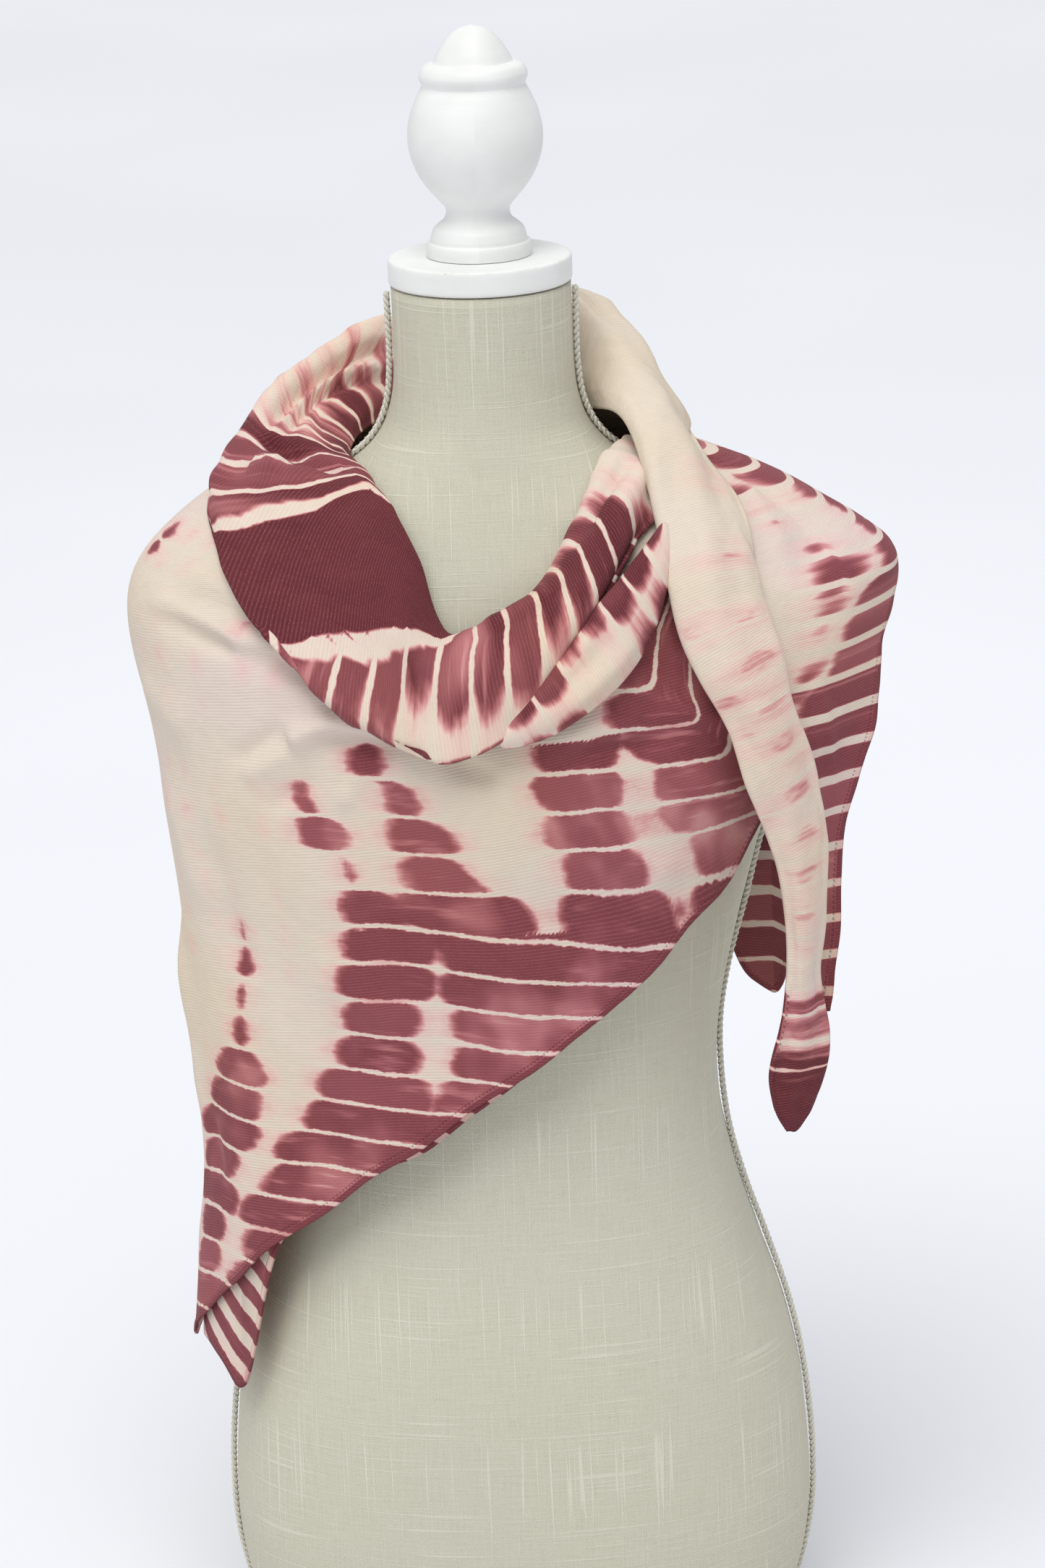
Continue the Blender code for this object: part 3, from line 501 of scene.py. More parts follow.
def under_grid(across, down):
    """The lower layer of the doubled cloth, where it hangs out below the outer hem."""
    az = np.linspace(UNDER[0][0], UNDER[-1][0], across)
    row = at(UNDER, az)
    hem = np.where(az < BACK[0][0], at(BACK, az)[:, 0], at(FRONT, az)[:, 0])
    low = hem - row[:, 0]
    t = np.linspace(0, 1, down)
    z = low[:, None] + row[:, 1:2] * t[None, :]
    a = np.radians(az)[:, None] + 0 * z
    outer = np.where(
        az[:, None] < BACK[0][0],
        over_radius(a, z) + back_folds(a, z),
        under_radius(a, z) + front_folds(a, z),
    )
    r = np.maximum(outer - row[:, 2:3], torso_radius(a, z) + 2.2 + WALL)
    return polar(a, r, z)


def shoulder_radius(az, z):
    row = at(SHOULDER, z)
    left, right = np.radians(row[..., 0]), np.radians(row[..., 2])
    u = np.clip((az - left) / np.maximum(right - left, 0.01), 0, 1)
    low = smoothstep(665.0, 560.0, z)
    r = row[..., 1] + (row[..., 3] - row[..., 1]) * u**0.9
    r = r + 5.5 * np.sin(math.pi * u) * (1 - low) + low * 3.0 * np.sin(2 * math.pi * u)
    lift = 4.6 + 1.4 * smoothstep(670.0, 700.0, z) + 2.0 * smoothstep(0.0, 0.5, u) * smoothstep(1.0, 0.8, u)
    held = under_radius(az, z) + lift
    return np.maximum(r, smoothstep(600.0, 640.0, z) * held)


def shoulder_grid(across, down):
    z = along(SHOULDER, np.linspace(0, 1, down))[:, :1]
    row = at(SHOULDER, z[:, 0])
    u = np.linspace(0, 1, across)[None, :]
    a = np.radians(row[:, :1] + (row[:, 2:3] - row[:, :1]) * u)
    z = z + 0 * u
    return polar(a, shoulder_radius(a, z), z)[::-1]


def cowl_grid(start, end, across, around):
    az = np.linspace(start, end, across)
    row = at(COWL, az).reshape(across, 6, 2)
    t = np.linspace(0, 1, around)
    points = np.stack([along(row[k], t) for k in range(across)])
    r, z = points[..., 0], points[..., 1]
    a = np.radians(az)[:, None] + 0 * r
    r = np.maximum(r, torso_radius(a, z) + 2.2)
    outer = np.where(a < math.radians(FRONT[0][0]), over_radius(a, z), under_radius(a, z))
    outer = outer + front_folds(a, z) * (a > math.radians(FRONT[0][0])) + 2.2 + WALL
    r = np.where(t[None, :] > 0.72, np.maximum(r, outer), r)
    return polar(a, r, z)


def lying_on(grid, gap):
    """Moves the points of a roll outwards until they clear the cloth that it lies on."""
    x, y, z = grid[..., 0], grid[..., 1], grid[..., 2]
    az, r = np.arctan2(x, -y), np.hypot(x, y)
    below = under_radius(az, z) + front_folds(az, z) * (az < math.radians(80.0)) + gap
    inner = np.radians(at(SHOULDER, z)[..., 0] - 5.0)
    on_shoulder = (az > inner) & (az < math.radians(92.0)) & (z > 600.0)
    sloped = 3.4 + 8.6 * smoothstep(655.0, 715.0, z)  # radially, where the shoulder lies flat
    below = np.where(on_shoulder, np.maximum(below, shoulder_radius(az, z) + sloped), below)
    behind = smoothstep(math.radians(86.0), math.radians(98.0), az)
    below = below + behind * (np.maximum(below, over_radius(az, z) + 5.0) - below)
    return polar(az, np.maximum(r, below), z)


def roll_grid(rows, along_count, around, start=-22.0, end=202.0):
    """A rolled edge: an open hook section carried along a path, closed side outwards."""
    t = np.linspace(0, 1, along_count)
    row = along(rows, t)
    path = row[:, :3]
    tangent = np.gradient(path, axis=0)
    tangent /= np.linalg.norm(tangent, axis=1)[:, None]
    flat = 115.0 + 85.0 * smoothstep(700.0, 765.0, path[:, 2])
    out = np.stack([path[:, 0] / 200.0**2, path[:, 1] / flat**2, 0 * flat], axis=-1)
    out /= np.linalg.norm(out, axis=1)[:, None]
    out = out + np.array([0.0, 0.0, 1.0]) * smoothstep(640.0, 760.0, path[:, 2:3]) * 0.9
    out -= tangent * (out * tangent).sum(axis=1)[:, None]
    out /= np.linalg.norm(out, axis=1)[:, None]
    side = np.cross(out, tangent)
    angle = np.radians(np.linspace(start, end, around))
    return (
        path[:, None, :]
        + side[:, None, :] * (row[:, 3:4] * np.cos(angle)[None, :])[..., None]
        + out[:, None, :] * (row[:, 4:5] * np.sin(angle)[None, :])[..., None]
    )


def tail_grid(head, along_count, around):
    """The hanging end: the collar's section comes forward over the shoulder and turns into the roll."""
    first = cowl_grid(TAIL_SPLIT - 0.25, COWL[-1][0], head, around)[:, ::-1]
    return np.concatenate([first, lying_on(roll_grid(TAIL, along_count, around), 8.5)])



# ---------------------------------------------------------------- fine surfaces

THICK = 1.2  # the shown cloth, folded double and pressed together
ROW = 0.021  # from one bound dye line to the next
HALF = 0.79  # half the square's diagonal


def smooth(grid, passes, axis):
    """Takes the kinks out of a surface along one of its directions; the ends stay."""
    g = np.moveaxis(np.array(grid, float), axis, 0)
    for _ in range(passes):
        g[1:-1] = 0.25 * g[:-2] + 0.5 * g[1:-1] + 0.25 * g[2:]
    return np.moveaxis(g, 0, axis)


def normals_of(grid):
    a = np.gradient(grid, axis=0)
    b = np.gradient(grid, axis=1)
    n = np.cross(a, b)
    return n / np.maximum(np.linalg.norm(n, axis=-1, keepdims=True), 1e-9)


def facing_out(grid):
    n = normals_of(grid)
    away = grid * np.array([1.0, 1.0, 0.0])
    return grid if (n * away).sum() > 0 else None


def lengths(grid, axis):
    """Arc length along one direction of a grid, from its first row or column."""
    step = np.linalg.norm(np.diff(grid, axis=axis), axis=-1)
    total = np.cumsum(step, axis=axis)
    zero = np.zeros_like(np.take(total, [0], axis=axis))
    return np.concatenate([zero, total], axis=axis)


def crease(u, v, segments):
    """Height of soft ridges (+) and troughs (-): u0, v0, u1, v1, half width, height; mm."""
    height = np.zeros_like(u)
    for u0, v0, u1, v1, wide, high in segments:
        du, dv = u1 - u0, v1 - v0
        span = du * du + dv * dv
        t = ((u - u0) * du + (v - v0) * dv) / span
        tc = np.clip(t, 0, 1)
        d2 = (u - u0 - tc * du) ** 2 + (v - v0 - tc * dv) ** 2
        ends = smoothstep(-0.02, 0.3, t) * (1 - smoothstep(0.7, 1.02, t))
        beyond = np.where((t < 0) | (t > 1), 0.0, 1.0)
        height += high * np.exp(-d2 / (wide * wide)) * np.maximum(ends, 0) * beyond
    return height


def value_noise(x, y, seed):
    """Smooth seeded noise in -1..1 on a unit lattice."""
    rng = np.random.default_rng(seed)
    table = rng.uniform(-1, 1, (64, 64))
    xi, yi = np.floor(x).astype(int), np.floor(y).astype(int)
    fx, fy = x - xi, y - yi
    fx, fy = fx * fx * (3 - 2 * fx), fy * fy * (3 - 2 * fy)

    def corner(i, j):
        return table[(xi + i) % 64, (yi + j) % 64]

    return (corner(0, 0) * (1 - fx) + corner(1, 0) * fx) * (1 - fy) + (
        corner(0, 1) * (1 - fx) + corner(1, 1) * fx
    ) * fy


# ---------------------------------------------------------------- meshes


def mesh_from_grid(name, grid, maps, values, closed_around=False):
    """A quad mesh from a grid in mm, with its UV maps (metres) and point values."""
    n, m = grid.shape[:2]
    mesh = bpy.data.meshes.new(name)
    i, j = np.meshgrid(np.arange(n - 1), np.arange(m - 1), indexing="ij")
    faces = np.stack(
        [i * m + j, (i + 1) * m + j, (i + 1) * m + j + 1, i * m + j + 1], axis=-1
    ).reshape(-1, 4)
    points = (grid / 1000.0).reshape(-1, 3)
    mesh.vertices.add(len(points))
    mesh.vertices.foreach_set("co", points.astype(np.float32).ravel())
    mesh.loops.add(faces.size)
    mesh.loops.foreach_set("vertex_index", faces.astype(np.int32).ravel())
    mesh.polygons.add(len(faces))
    mesh.polygons.foreach_set("loop_start", np.arange(0, faces.size, 4, dtype=np.int32))
    mesh.polygons.foreach_set("use_smooth", np.ones(len(faces), bool))
    mesh.update(calc_edges=True)
    for label, flat in maps.items():
        layer = mesh.uv_layers.new(name=label)
        layer.uv.foreach_set(
            "vector", flat.reshape(-1, 2)[faces.ravel()].astype(np.float32).ravel()
        )
    for label, value in values.items():
        attribute = mesh.attributes.new(label, "FLOAT", "POINT")
        attribute.data.foreach_set("value", value.reshape(-1).astype(np.float32))
    mesh.validate()
    obj = bpy.data.objects.new(name, mesh)
    PART.objects.link(obj)
    return obj


def cloth(name, grid, dye, weave, dyed, hem, material, nodes, bound=None, loose=None):
    """One stretch of the shawl: a thin shell whose outer face is the grid."""
    bound = np.full(dyed.shape, 0.05) if bound is None else bound
    loose = np.zeros(dyed.shape) if loose is None else loose
    out = grid
    if facing_out(out) is None:
        out, dye, weave, dyed, hem, bound, loose = (x[::-1] for x in (grid, dye, weave, dyed, hem, bound, loose))
    values = {"dyed": dyed, "hem": hem, "bound": bound, "loose": loose}
    obj = mesh_from_grid(name, out, {"dye": dye, "weave": weave}, values)
    obj.data.materials.append(material)
    shell = obj.modifiers.new("wall", "SOLIDIFY")
    shell.thickness = THICK / 1000.0
    shell.offset = -1.0
    shell.use_even_offset = False
    shell.use_rim = True
    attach(obj, "root")
    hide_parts(*nodes)
    a = np.diff(out, axis=0)[:, :-1]
    b = np.diff(out, axis=1)[:-1]
    area = np.linalg.norm(np.cross(a, b), axis=-1).sum() / 1e6
    size = weave.reshape(-1, 2)
    wide = float(size[:, 0].max() - size[:, 0].min())
    long = float(size[:, 1].max() - size[:, 1].min())
    area = min(max(area, 0.31 * wide * long), wide * long)
    return obj


# ---------------------------------------------------------------- materials


class Shade:
    """Short hand for a material's nodes: each call adds one and returns its output."""

    def __init__(self, name):
        self.material = bpy.data.materials.new(name)
        self.material.use_nodes = True
        self.tree = self.material.node_tree
        self.shader = self.tree.nodes["Principled BSDF"]

    def node(self, kind, inputs=(), **settings):
        made = self.tree.nodes.new(kind)
        for key, value in settings.items():
            setattr(made, key, value)
        for key, value in dict(inputs).items():
            if hasattr(value, "is_output"):
                self.tree.links.new(value, made.inputs[key])
            else:
                made.inputs[key].default_value = value
        return made

    def math(self, operation, a, b=0.0, c=0.0, clamp=False):
        made = self.node("ShaderNodeMath", {0: a, 1: b, 2: c}, operation=operation)
        made.use_clamp = clamp
        return made.outputs[0]

    def add(self, a, b):
        return self.math("ADD", a, b)

    def sub(self, a, b):
        return self.math("SUBTRACT", a, b)

    def mul(self, a, b):
        return self.math("MULTIPLY", a, b)

    def step(self, low, high, value):
        """Smoothstep of value from low to high, 0..1; low and high may be sockets."""
        made = self.node(
            "ShaderNodeMapRange",
            {"Value": value, "From Min": low, "From Max": high},
            interpolation_type="SMOOTHSTEP",
        )
        return made.outputs[0]

    def vector(self, x, y, z=0.0):
        return self.node("ShaderNodeCombineXYZ", {0: x, 1: y, 2: z}).outputs[0]

    def parts(self, vector):
        return self.node("ShaderNodeSeparateXYZ", {0: vector}).outputs

    def noise(self, vector, scale, detail=2.0, rough=0.5, centred=True):
        made = self.node(
            "ShaderNodeTexNoise",
            {"Vector": vector, "Scale": scale, "Detail": detail, "Roughness": rough},
            noise_dimensions="3D",
        )
        if not centred:
            return made.outputs[0]
        return self.math("MULTIPLY_ADD", made.outputs[0], 2.0, -1.0)

    def chance(self, vector):
        return self.node("ShaderNodeTexWhiteNoise", {"Vector": vector}, noise_dimensions="3D").outputs[0]

    def uv(self, name):
        return self.node("ShaderNodeUVMap", uv_map=name).outputs[0]

    def value(self, name):
        return self.node("ShaderNodeAttribute", attribute_name=name, attribute_type="GEOMETRY").outputs["Fac"]

    def ramp(self, factor, stops, mode="EASE"):
        made = self.node("ShaderNodeValToRGB", {0: factor})
        ramp = made.color_ramp
        ramp.interpolation = mode
        while len(ramp.elements) < len(stops):
            ramp.elements.new(0.5)
        for element, (place, colour) in zip(ramp.elements, stops):
            element.position = place
            element.color = (*colour, 1.0)
        return made.outputs[0]

    def mix(self, factor, a, b, blend="MIX"):
        made = self.node("ShaderNodeMix", data_type="RGBA", blend_type=blend)
        made.clamp_factor = True
        for slot, value in ((0, factor), (6, a), (7, b)):
            if hasattr(value, "is_output"):
                self.tree.links.new(value, made.inputs[slot])
            elif slot:
                made.inputs[slot].default_value = (*value, 1.0)
            else:
                made.inputs[slot].default_value = value
        return made.outputs[2]

    def bump(self, height, depth, strength=1.0, under=None):
        inputs = {"Height": height, "Distance": depth, "Strength": strength}
        made = self.node("ShaderNodeBump", inputs)
        if under is not None:
            self.tree.links.new(under, made.inputs["Normal"])
        return made.outputs[0]

    def set(self, **inputs):
        for key, value in inputs.items():
            socket = self.shader.inputs[key.replace("_", " ")]
            if hasattr(value, "is_output"):
                self.tree.links.new(value, socket)
            else:
                socket.default_value = value
        return self.material


CREAM = (0.75, 0.65, 0.54)


def dyed_twill(name, seed, dark, deep, ribs=0.00165):
    """Fine twill, bound and dipped: cream lines every 21 mm between burgundy blocks that bleed."""
    s = Shade(name)
    dye, weave = s.uv("dye"), s.uv("weave")
    p, q = s.parts(dye)[0], s.parts(dye)[1]
    place = s.vector(p, q, seed * 3.7)
    drift_p = s.mul(s.noise(place, 13.0, 2.0), 0.0042)
    drift_q = s.mul(s.noise(s.vector(p, q, seed * 3.7 + 9.0), 13.0, 2.0), 0.0042)
    fine = s.mul(s.noise(place, 160.0, 3.0, 0.65), 0.0010)
    ap = s.math("ABSOLUTE", s.add(p, drift_p))
    aq = s.math("ABSOLUTE", s.add(q, drift_q))
    far = s.node("ShaderNodeMath", {0: ap, 1: aq, 2: 0.012}, operation="SMOOTH_MAX").outputs[0]
    by_p = s.step(-0.006, 0.006, s.sub(ap, aq))
    row = s.math("DIVIDE", s.add(far, fine), ROW)
    number = s.math("FLOOR", row)
    inside = s.math("FRACT", row)
    side = s.mul(s.math("GREATER_THAN", p, 0.0), 37.0)
    lot = s.chance(s.vector(s.add(number, side), seed + 0.5))
    tone_lot = s.chance(s.vector(s.add(number, side), seed + 7.5))
    middle = s.math("ABSOLUTE", s.sub(inside, 0.5))  # 0 mid row, 0.5 on a line
    from_line = s.mul(s.sub(0.5, middle), ROW)
    tied = s.math("ABSOLUTE", s.add(s.value("bound"), s.mul(s.noise(place, 70.0, 2.0), 0.0010)))
    from_line = s.math("MINIMUM", from_line, s.mul(tied, 0.6))
    # streaks run with the rows: drawn out along a line, tight across it
    in_q = s.noise(s.vector(s.mul(p, 34.0), s.mul(q, 210.0), seed), 1.0, 3.0, 0.6)
    in_p = s.noise(s.vector(s.mul(p, 210.0), s.mul(q, 34.0), seed + 4.0), 1.0, 3.0, 0.6)
    streak = s.add(s.mul(in_q, s.sub(1.0, by_p)), s.mul(in_p, by_p))
    # teeth cut into the lines from the dyed side, every few millimetres
    tooth_q = s.noise(s.vector(s.mul(p, 300.0), s.mul(q, 60.0), seed + 2.0), 1.0, 1.0)
    tooth_p = s.noise(s.vector(s.mul(p, 60.0), s.mul(q, 300.0), seed + 6.0), 1.0, 1.0)
    teeth = s.add(s.mul(tooth_q, s.sub(1.0, by_p)), s.mul(tooth_p, by_p))

    swell = s.noise(place, 34.0, 2.0)
    width = s.math("MULTIPLY_ADD", swell, 0.00075, 0.00062)
    width = s.add(width, s.mul(teeth, 0.00065))
    width = s.add(width, s.mul(s.math("MAXIMUM", s.mul(s.value("loose"), -1.0), 0.0), 0.0036))
    line = s.sub(1.0, s.step(width, s.add(width, 0.0011), from_line))
    outside_patch = s.step(0.050, 0.060, far)
    kept = s.step(-0.55, -0.15, s.noise(place, 21.0, 1.0))
    line = s.mul(s.mul(line, outside_patch), s.math("MULTIPLY_ADD", kept, 0.30, 0.70))
    line = s.math("MAXIMUM", line, s.sub(1.0, s.step(0.0010, 0.0018, tied)))

    # the dyed blocks: each row ends at its own place, rounded towards its lines
    reach = s.math("MULTIPLY_ADD", lot, 0.012, -0.006)
    reach = s.mul(reach, s.sub(1.0, s.mul(s.math("MAXIMUM", s.value("loose"), 0.0), 0.95)))
    wander = s.add(s.mul(s.noise(place, 60.0, 3.0, 0.6), 0.0050), s.mul(streak, 0.0040))
    corner = s.mul(s.math("POWER", s.mul(middle, 2.0), 3.6), -0.0090)
    corner = s.mul(corner, s.sub(1.0, s.math("MAXIMUM", s.value("loose"), 0.0)))
    field = s.add(s.add(s.value("dyed"), reach), s.add(wander, s.mul(corner, outside_patch)))
    soft = s.math("MULTIPLY_ADD", s.noise(place, 38.0, 1.0), 0.0036, 0.0058)
    block = s.step(s.mul(soft, -0.7), soft, field)
    near = s.step(-0.017, 0.004, s.add(field, s.mul(s.noise(place, 34.0, 2.0), 0.007)))
    haze = s.mul(near, s.math("MULTIPLY_ADD", streak, 0.16, 0.19))
    haze = s.mul(haze, s.math("MULTIPLY_ADD", middle, -0.9, 1.0))
    mottle = s.math("MULTIPLY_ADD", s.noise(place, 75.0, 4.0, 0.65), 0.045, 0.95)
    thin = s.mul(s.step(0.50, 0.74, s.noise(place, 21.0, 2.0, centred=False)), 0.40)
    pale_row = s.mul(s.step(0.70, 0.95, tone_lot), 0.16)
    cover = s.mul(block, s.sub(mottle, s.mul(s.add(thin, pale_row), outside_patch)))
    # washed-out strokes beside the tied lines, drawn out across the row
    stroke_q = s.noise(s.vector(s.mul(p, 150.0), s.mul(q, 20.0), seed + 11.0), 1.0, 2.0, 0.6)
    stroke_p = s.noise(s.vector(s.mul(p, 20.0), s.mul(q, 150.0), seed + 13.0), 1.0, 2.0, 0.6)
    stroke = s.add(s.mul(stroke_p, s.sub(1.0, by_p)), s.mul(stroke_q, by_p))
    stroke = s.mul(s.step(0.06, 0.42, stroke), s.step(0.40, 0.62, s.noise(place, 15.0, 1.0, centred=False)))
    cover = s.mul(cover, s.sub(1.0, s.mul(s.mul(stroke, outside_patch), 0.40)))
    cover = s.mul(cover, s.sub(1.0, line))
    cover = s.math("MAXIMUM", cover, s.mul(haze, s.sub(1.0, s.mul(line, 0.85))))
    hem = s.value("hem")
    at_hem = s.sub(1.0, s.step(0.0030, 0.0050, hem))
    hem_dye = s.mul(s.mul(at_hem, s.sub(1.0, s.mul(line, 0.85))), s.step(-0.034, -0.008, s.value("dyed")))
    cover = s.math("MAXIMUM", cover, s.mul(hem_dye, 0.97))

    dyed = s.ramp(
        cover,
        [
            (0.00, CREAM),
            (0.09, (0.79, 0.60, 0.52)),
            (0.28, (0.72, 0.385, 0.36)),
            (0.52, (0.50, 0.185, 0.19)),
            (0.78, tuple(0.5 * a + 0.5 * b for a, b in zip(dark, (0.42, 0.13, 0.14)))),
            (0.95, dark),
            (1.00, deep),
        ],
        "LINEAR",
    )
    # undyed cloth: a warmer cast here, a rosier one there
    cast = s.noise(place, 6.5, 2.0, centred=False)
    tint = s.ramp(cast, [(0.32, (1.0, 0.975, 0.90)), (0.52, (1.0, 1.0, 1.0)), (0.68, (1.0, 0.965, 1.03))])
    dyed = s.mix(1.0, dyed, tint, "MULTIPLY")

    # twill: ribs along the fold, made of short slanted floats
    wx, wy = s.parts(weave)[0], s.parts(weave)[1]
    wobble = s.mul(s.noise(weave, 55.0, 2.0), 1.6)
    rib_at = s.add(s.mul(s.add(wy, s.mul(wx, 0.13)), 2 * math.pi / ribs), wobble)
    rib = s.math("SINE", rib_at)
    float_at = s.add(s.mul(s.sub(s.mul(wx, 0.82), s.mul(wy, 0.57)), 2 * math.pi / 0.00066), wobble)
    floats = s.math("SINE", float_at)
    fuzz = s.noise(weave, 1300.0, 3.0, 0.75)
    yarn = s.noise(s.vector(s.mul(wx, 90.0), s.mul(s.add(wy, s.mul(wx, 0.13)), 900.0), seed), 1.0, 2.0, 0.6)
    cloth_height = s.add(s.add(s.mul(rib, 0.45), s.mul(floats, 0.25)), s.add(s.mul(fuzz, 0.5), s.mul(yarn, 0.35)))
    light = s.add(s.mul(rib, 0.036), s.add(s.mul(fuzz, 0.075), s.mul(yarn, 0.045)))
    wear = s.mul(s.noise(weave, 120.0, 4.0, 0.7), 0.05)
    level = s.add(1.0, s.add(light, wear))
    grain = s.vector(level, level, level)
    colour = s.mix(1.0, dyed, grain, "MULTIPLY")
    # fibre ends that took less dye
    frost = s.mul(s.mul(s.step(0.05, 0.7, s.add(s.mul(rib, 0.35), s.mul(fuzz, 0.8))), s.step(0.5, 0.95, cover)), 0.24)
    colour = s.mix(frost, colour, (0.60, 0.30, 0.31))

    # the stitched hem: a row of small dark stitches
    dash = s.math("SINE", s.mul(s.sub(wx, wy), 2 * math.pi / 0.0036))
    on_row = s.sub(1.0, s.step(0.00025, 0.0007, s.math("ABSOLUTE", s.sub(hem, 0.0046))))
    stitch = s.mul(s.mul(on_row, s.step(-0.1, 0.5, dash)), s.step(-0.034, -0.008, s.value("dyed")))
    colour = s.mix(s.mul(stitch, 0.6), colour, (0.13, 0.016, 0.03))
    edge = s.mul(s.sub(1.0, s.step(0.0, 0.0012, hem)), 0.30)
    colour = s.mix(edge, colour, (0.12, 0.018, 0.028))

    height = s.sub(cloth_height, s.mul(on_row, 2.0))
    crumple = s.noise(weave, 30.0, 4.0, 0.6)
    under = s.bump(crumple, 0.0016, 0.6)
    normal = s.bump(height, 0.00015, 0.85, under)
    rough = s.math("MULTIPLY_ADD", fuzz, 0.05, 0.84)
    return s.set(
        Base_Color=colour, Roughness=rough, Normal=normal, Specular_IOR_Level=0.18, Sheen_Weight=0.04, Sheen_Roughness=0.5,
    )


def linen_cloth():
    """Slubby plain weave: fine threads both ways, some of them thicker and paler."""
    s = Shade("linen")
    at_uv = s.uv("weave")
    sway_u = s.mul(s.noise(at_uv, 6.0, 1.0), 0.0016)
    sway_v = s.mul(s.noise(s.node("ShaderNodeMapping", {0: at_uv, 1: (3.0, 5.0, 0.0)}).outputs[0], 6.0, 1.0), 0.0016)
    u, v = s.add(s.parts(at_uv)[0], sway_u), s.add(s.parts(at_uv)[1], sway_v)
    warp = s.math("SINE", s.mul(u, 2 * math.pi / 0.00115))
    weft = s.math("SINE", s.mul(v, 2 * math.pi / 0.00115))
    cross = s.mul(warp, weft)
    yarn_up = s.noise(s.vector(s.mul(u, 900.0), s.mul(v, 45.0), 1.0), 1.0, 2.0, 0.6)
    yarn_over = s.noise(s.vector(s.mul(u, 45.0), s.mul(v, 900.0), 5.0), 1.0, 2.0, 0.6)
    slub_up = s.noise(s.vector(s.mul(u, 700.0), s.mul(v, 10.0), 3.0), 1.0, 0.0)
    slub_over = s.noise(s.vector(s.mul(u, 10.0), s.mul(v, 700.0), 8.0), 1.0, 0.0)
    pale = s.math("MAXIMUM", s.step(0.30, 0.46, slub_up), s.mul(s.step(0.34, 0.50, slub_over), 0.8))
    tone = s.add(s.mul(s.add(yarn_up, yarn_over), 0.34), s.mul(cross, 0.16))
    tone = s.add(tone, s.mul(s.noise(at_uv, 1100.0, 2.0, 0.7), 0.30))
    fac = s.math("MULTIPLY_ADD", tone, 0.5, 0.5)
    colour = s.ramp(fac, [(0.10, (0.37, 0.34, 0.245)), (0.5, (0.625, 0.60, 0.475)), (0.90, (0.80, 0.78, 0.665))])
    colour = s.mix(s.mul(pale, 0.38), colour, (0.86, 0.84, 0.70))
    grey = s.noise(at_uv, 5.0, 2.0, centred=False)
    colour = s.mix(s.mul(s.step(0.4, 0.75, grey), 0.12), colour, (0.62, 0.63, 0.56))
    height = s.add(s.add(s.mul(cross, 0.5), s.mul(yarn_up, 0.45)), s.add(s.mul(yarn_over, 0.45), s.mul(pale, 0.8)))
    return s.set(
        Base_Color=colour, Roughness=s.math("MULTIPLY_ADD", tone, 0.08, 0.88),
        Normal=s.bump(height, 0.00022, 0.85), Specular_IOR_Level=0.2, Sheen_Weight=0.05,
    )


def white_paint():
    """Brushed matt white over turned wood, rubbed and chipped a little at its edges."""
    s = Shade("paint")
    at_uv = s.uv("weave")
    u, v = s.parts(at_uv)[0], s.parts(at_uv)[1]
    brush = s.noise(s.vector(s.mul(u, 22.0), s.mul(v, 420.0), 2.0), 1.0, 3.0, 0.6)
    cloud = s.noise(at_uv, 26.0, 3.0, centred=False)
    base = s.ramp(cloud, [(0.3, (0.81, 0.815, 0.785)), (0.7, (0.865, 0.87, 0.85))])
    chip = s.noise(at_uv, 170.0, 3.0, 0.6, centred=False)
    rim = s.value("edge")
    bare = s.mul(s.step(0.69, 0.73, chip), s.step(0.45, 0.9, rim))
    colour = s.mix(bare, base, (0.36, 0.22, 0.12))
    rubbed = s.mul(s.mul(s.step(0.50, 0.68, chip), s.step(0.3, 0.9, rim)), 0.35)
    colour = s.mix(rubbed, colour, (0.72, 0.68, 0.58))
    height = s.sub(s.add(s.mul(brush, 0.5), s.mul(s.noise(at_uv, 300.0, 2.0), 0.25)), s.mul(bare, 3.0))
    return s.set(
        Base_Color=colour, Roughness=s.math("MULTIPLY_ADD", brush, 0.06, 0.46),
        Normal=s.bump(height, 0.00012, 0.8), Specular_IOR_Level=0.4,
    )


def cotton_cord():
    s = Shade("cord")
    at_uv = s.uv("weave")
    u, v = s.parts(at_uv)[0], s.parts(at_uv)[1]
    twist = s.math("SINE", s.add(s.mul(u, 2 * math.pi / 0.0011), s.mul(v, 2 * math.pi / 0.0016)))
    fuzz = s.noise(at_uv, 700.0, 3.0, 0.7)
    tone = s.math("MULTIPLY_ADD", s.add(s.mul(twist, 0.5), fuzz), 0.35, 0.5)
    colour = s.ramp(tone, [(0.1, (0.60, 0.565, 0.46)), (0.55, (0.78, 0.755, 0.66)), (0.95, (0.88, 0.865, 0.79))])
    return s.set(
        Base_Color=colour, Roughness=s.math("MULTIPLY_ADD", fuzz, 0.05, 0.85),
        Normal=s.bump(s.add(twist, fuzz), 0.00015, 0.8), Specular_IOR_Level=0.2, Sheen_Weight=0.1,
    )


def studio_floor():
    s = Shade("studio_floor")
    where = s.node("ShaderNodeTexCoord").outputs["Object"]
    tone = s.noise(where, 0.7, 2.0, centred=False)
    colour = s.ramp(tone, [(0.3, (0.800, 0.812, 0.845)), (0.7, (0.825, 0.838, 0.870))])
    return s.set(Base_Color=colour, Roughness=0.9, Specular_IOR_Level=0.1)




# ---------------------------------------------------------------- the falls, front and back


APEX = -93.0  # azimuth of the corner that hangs lowest, under the near shoulder


def body_radius(a, z):
    """One surface for the front and back falls."""
    front = np.maximum(under_radius(a, z) + front_folds(a, z), torso_radius(a, z) + 4.0)
    back = over_radius(a, z) + back_folds(a, z)
    return front + (back - front) * smoothstep(math.radians(-92.0), math.radians(-104.0), a)


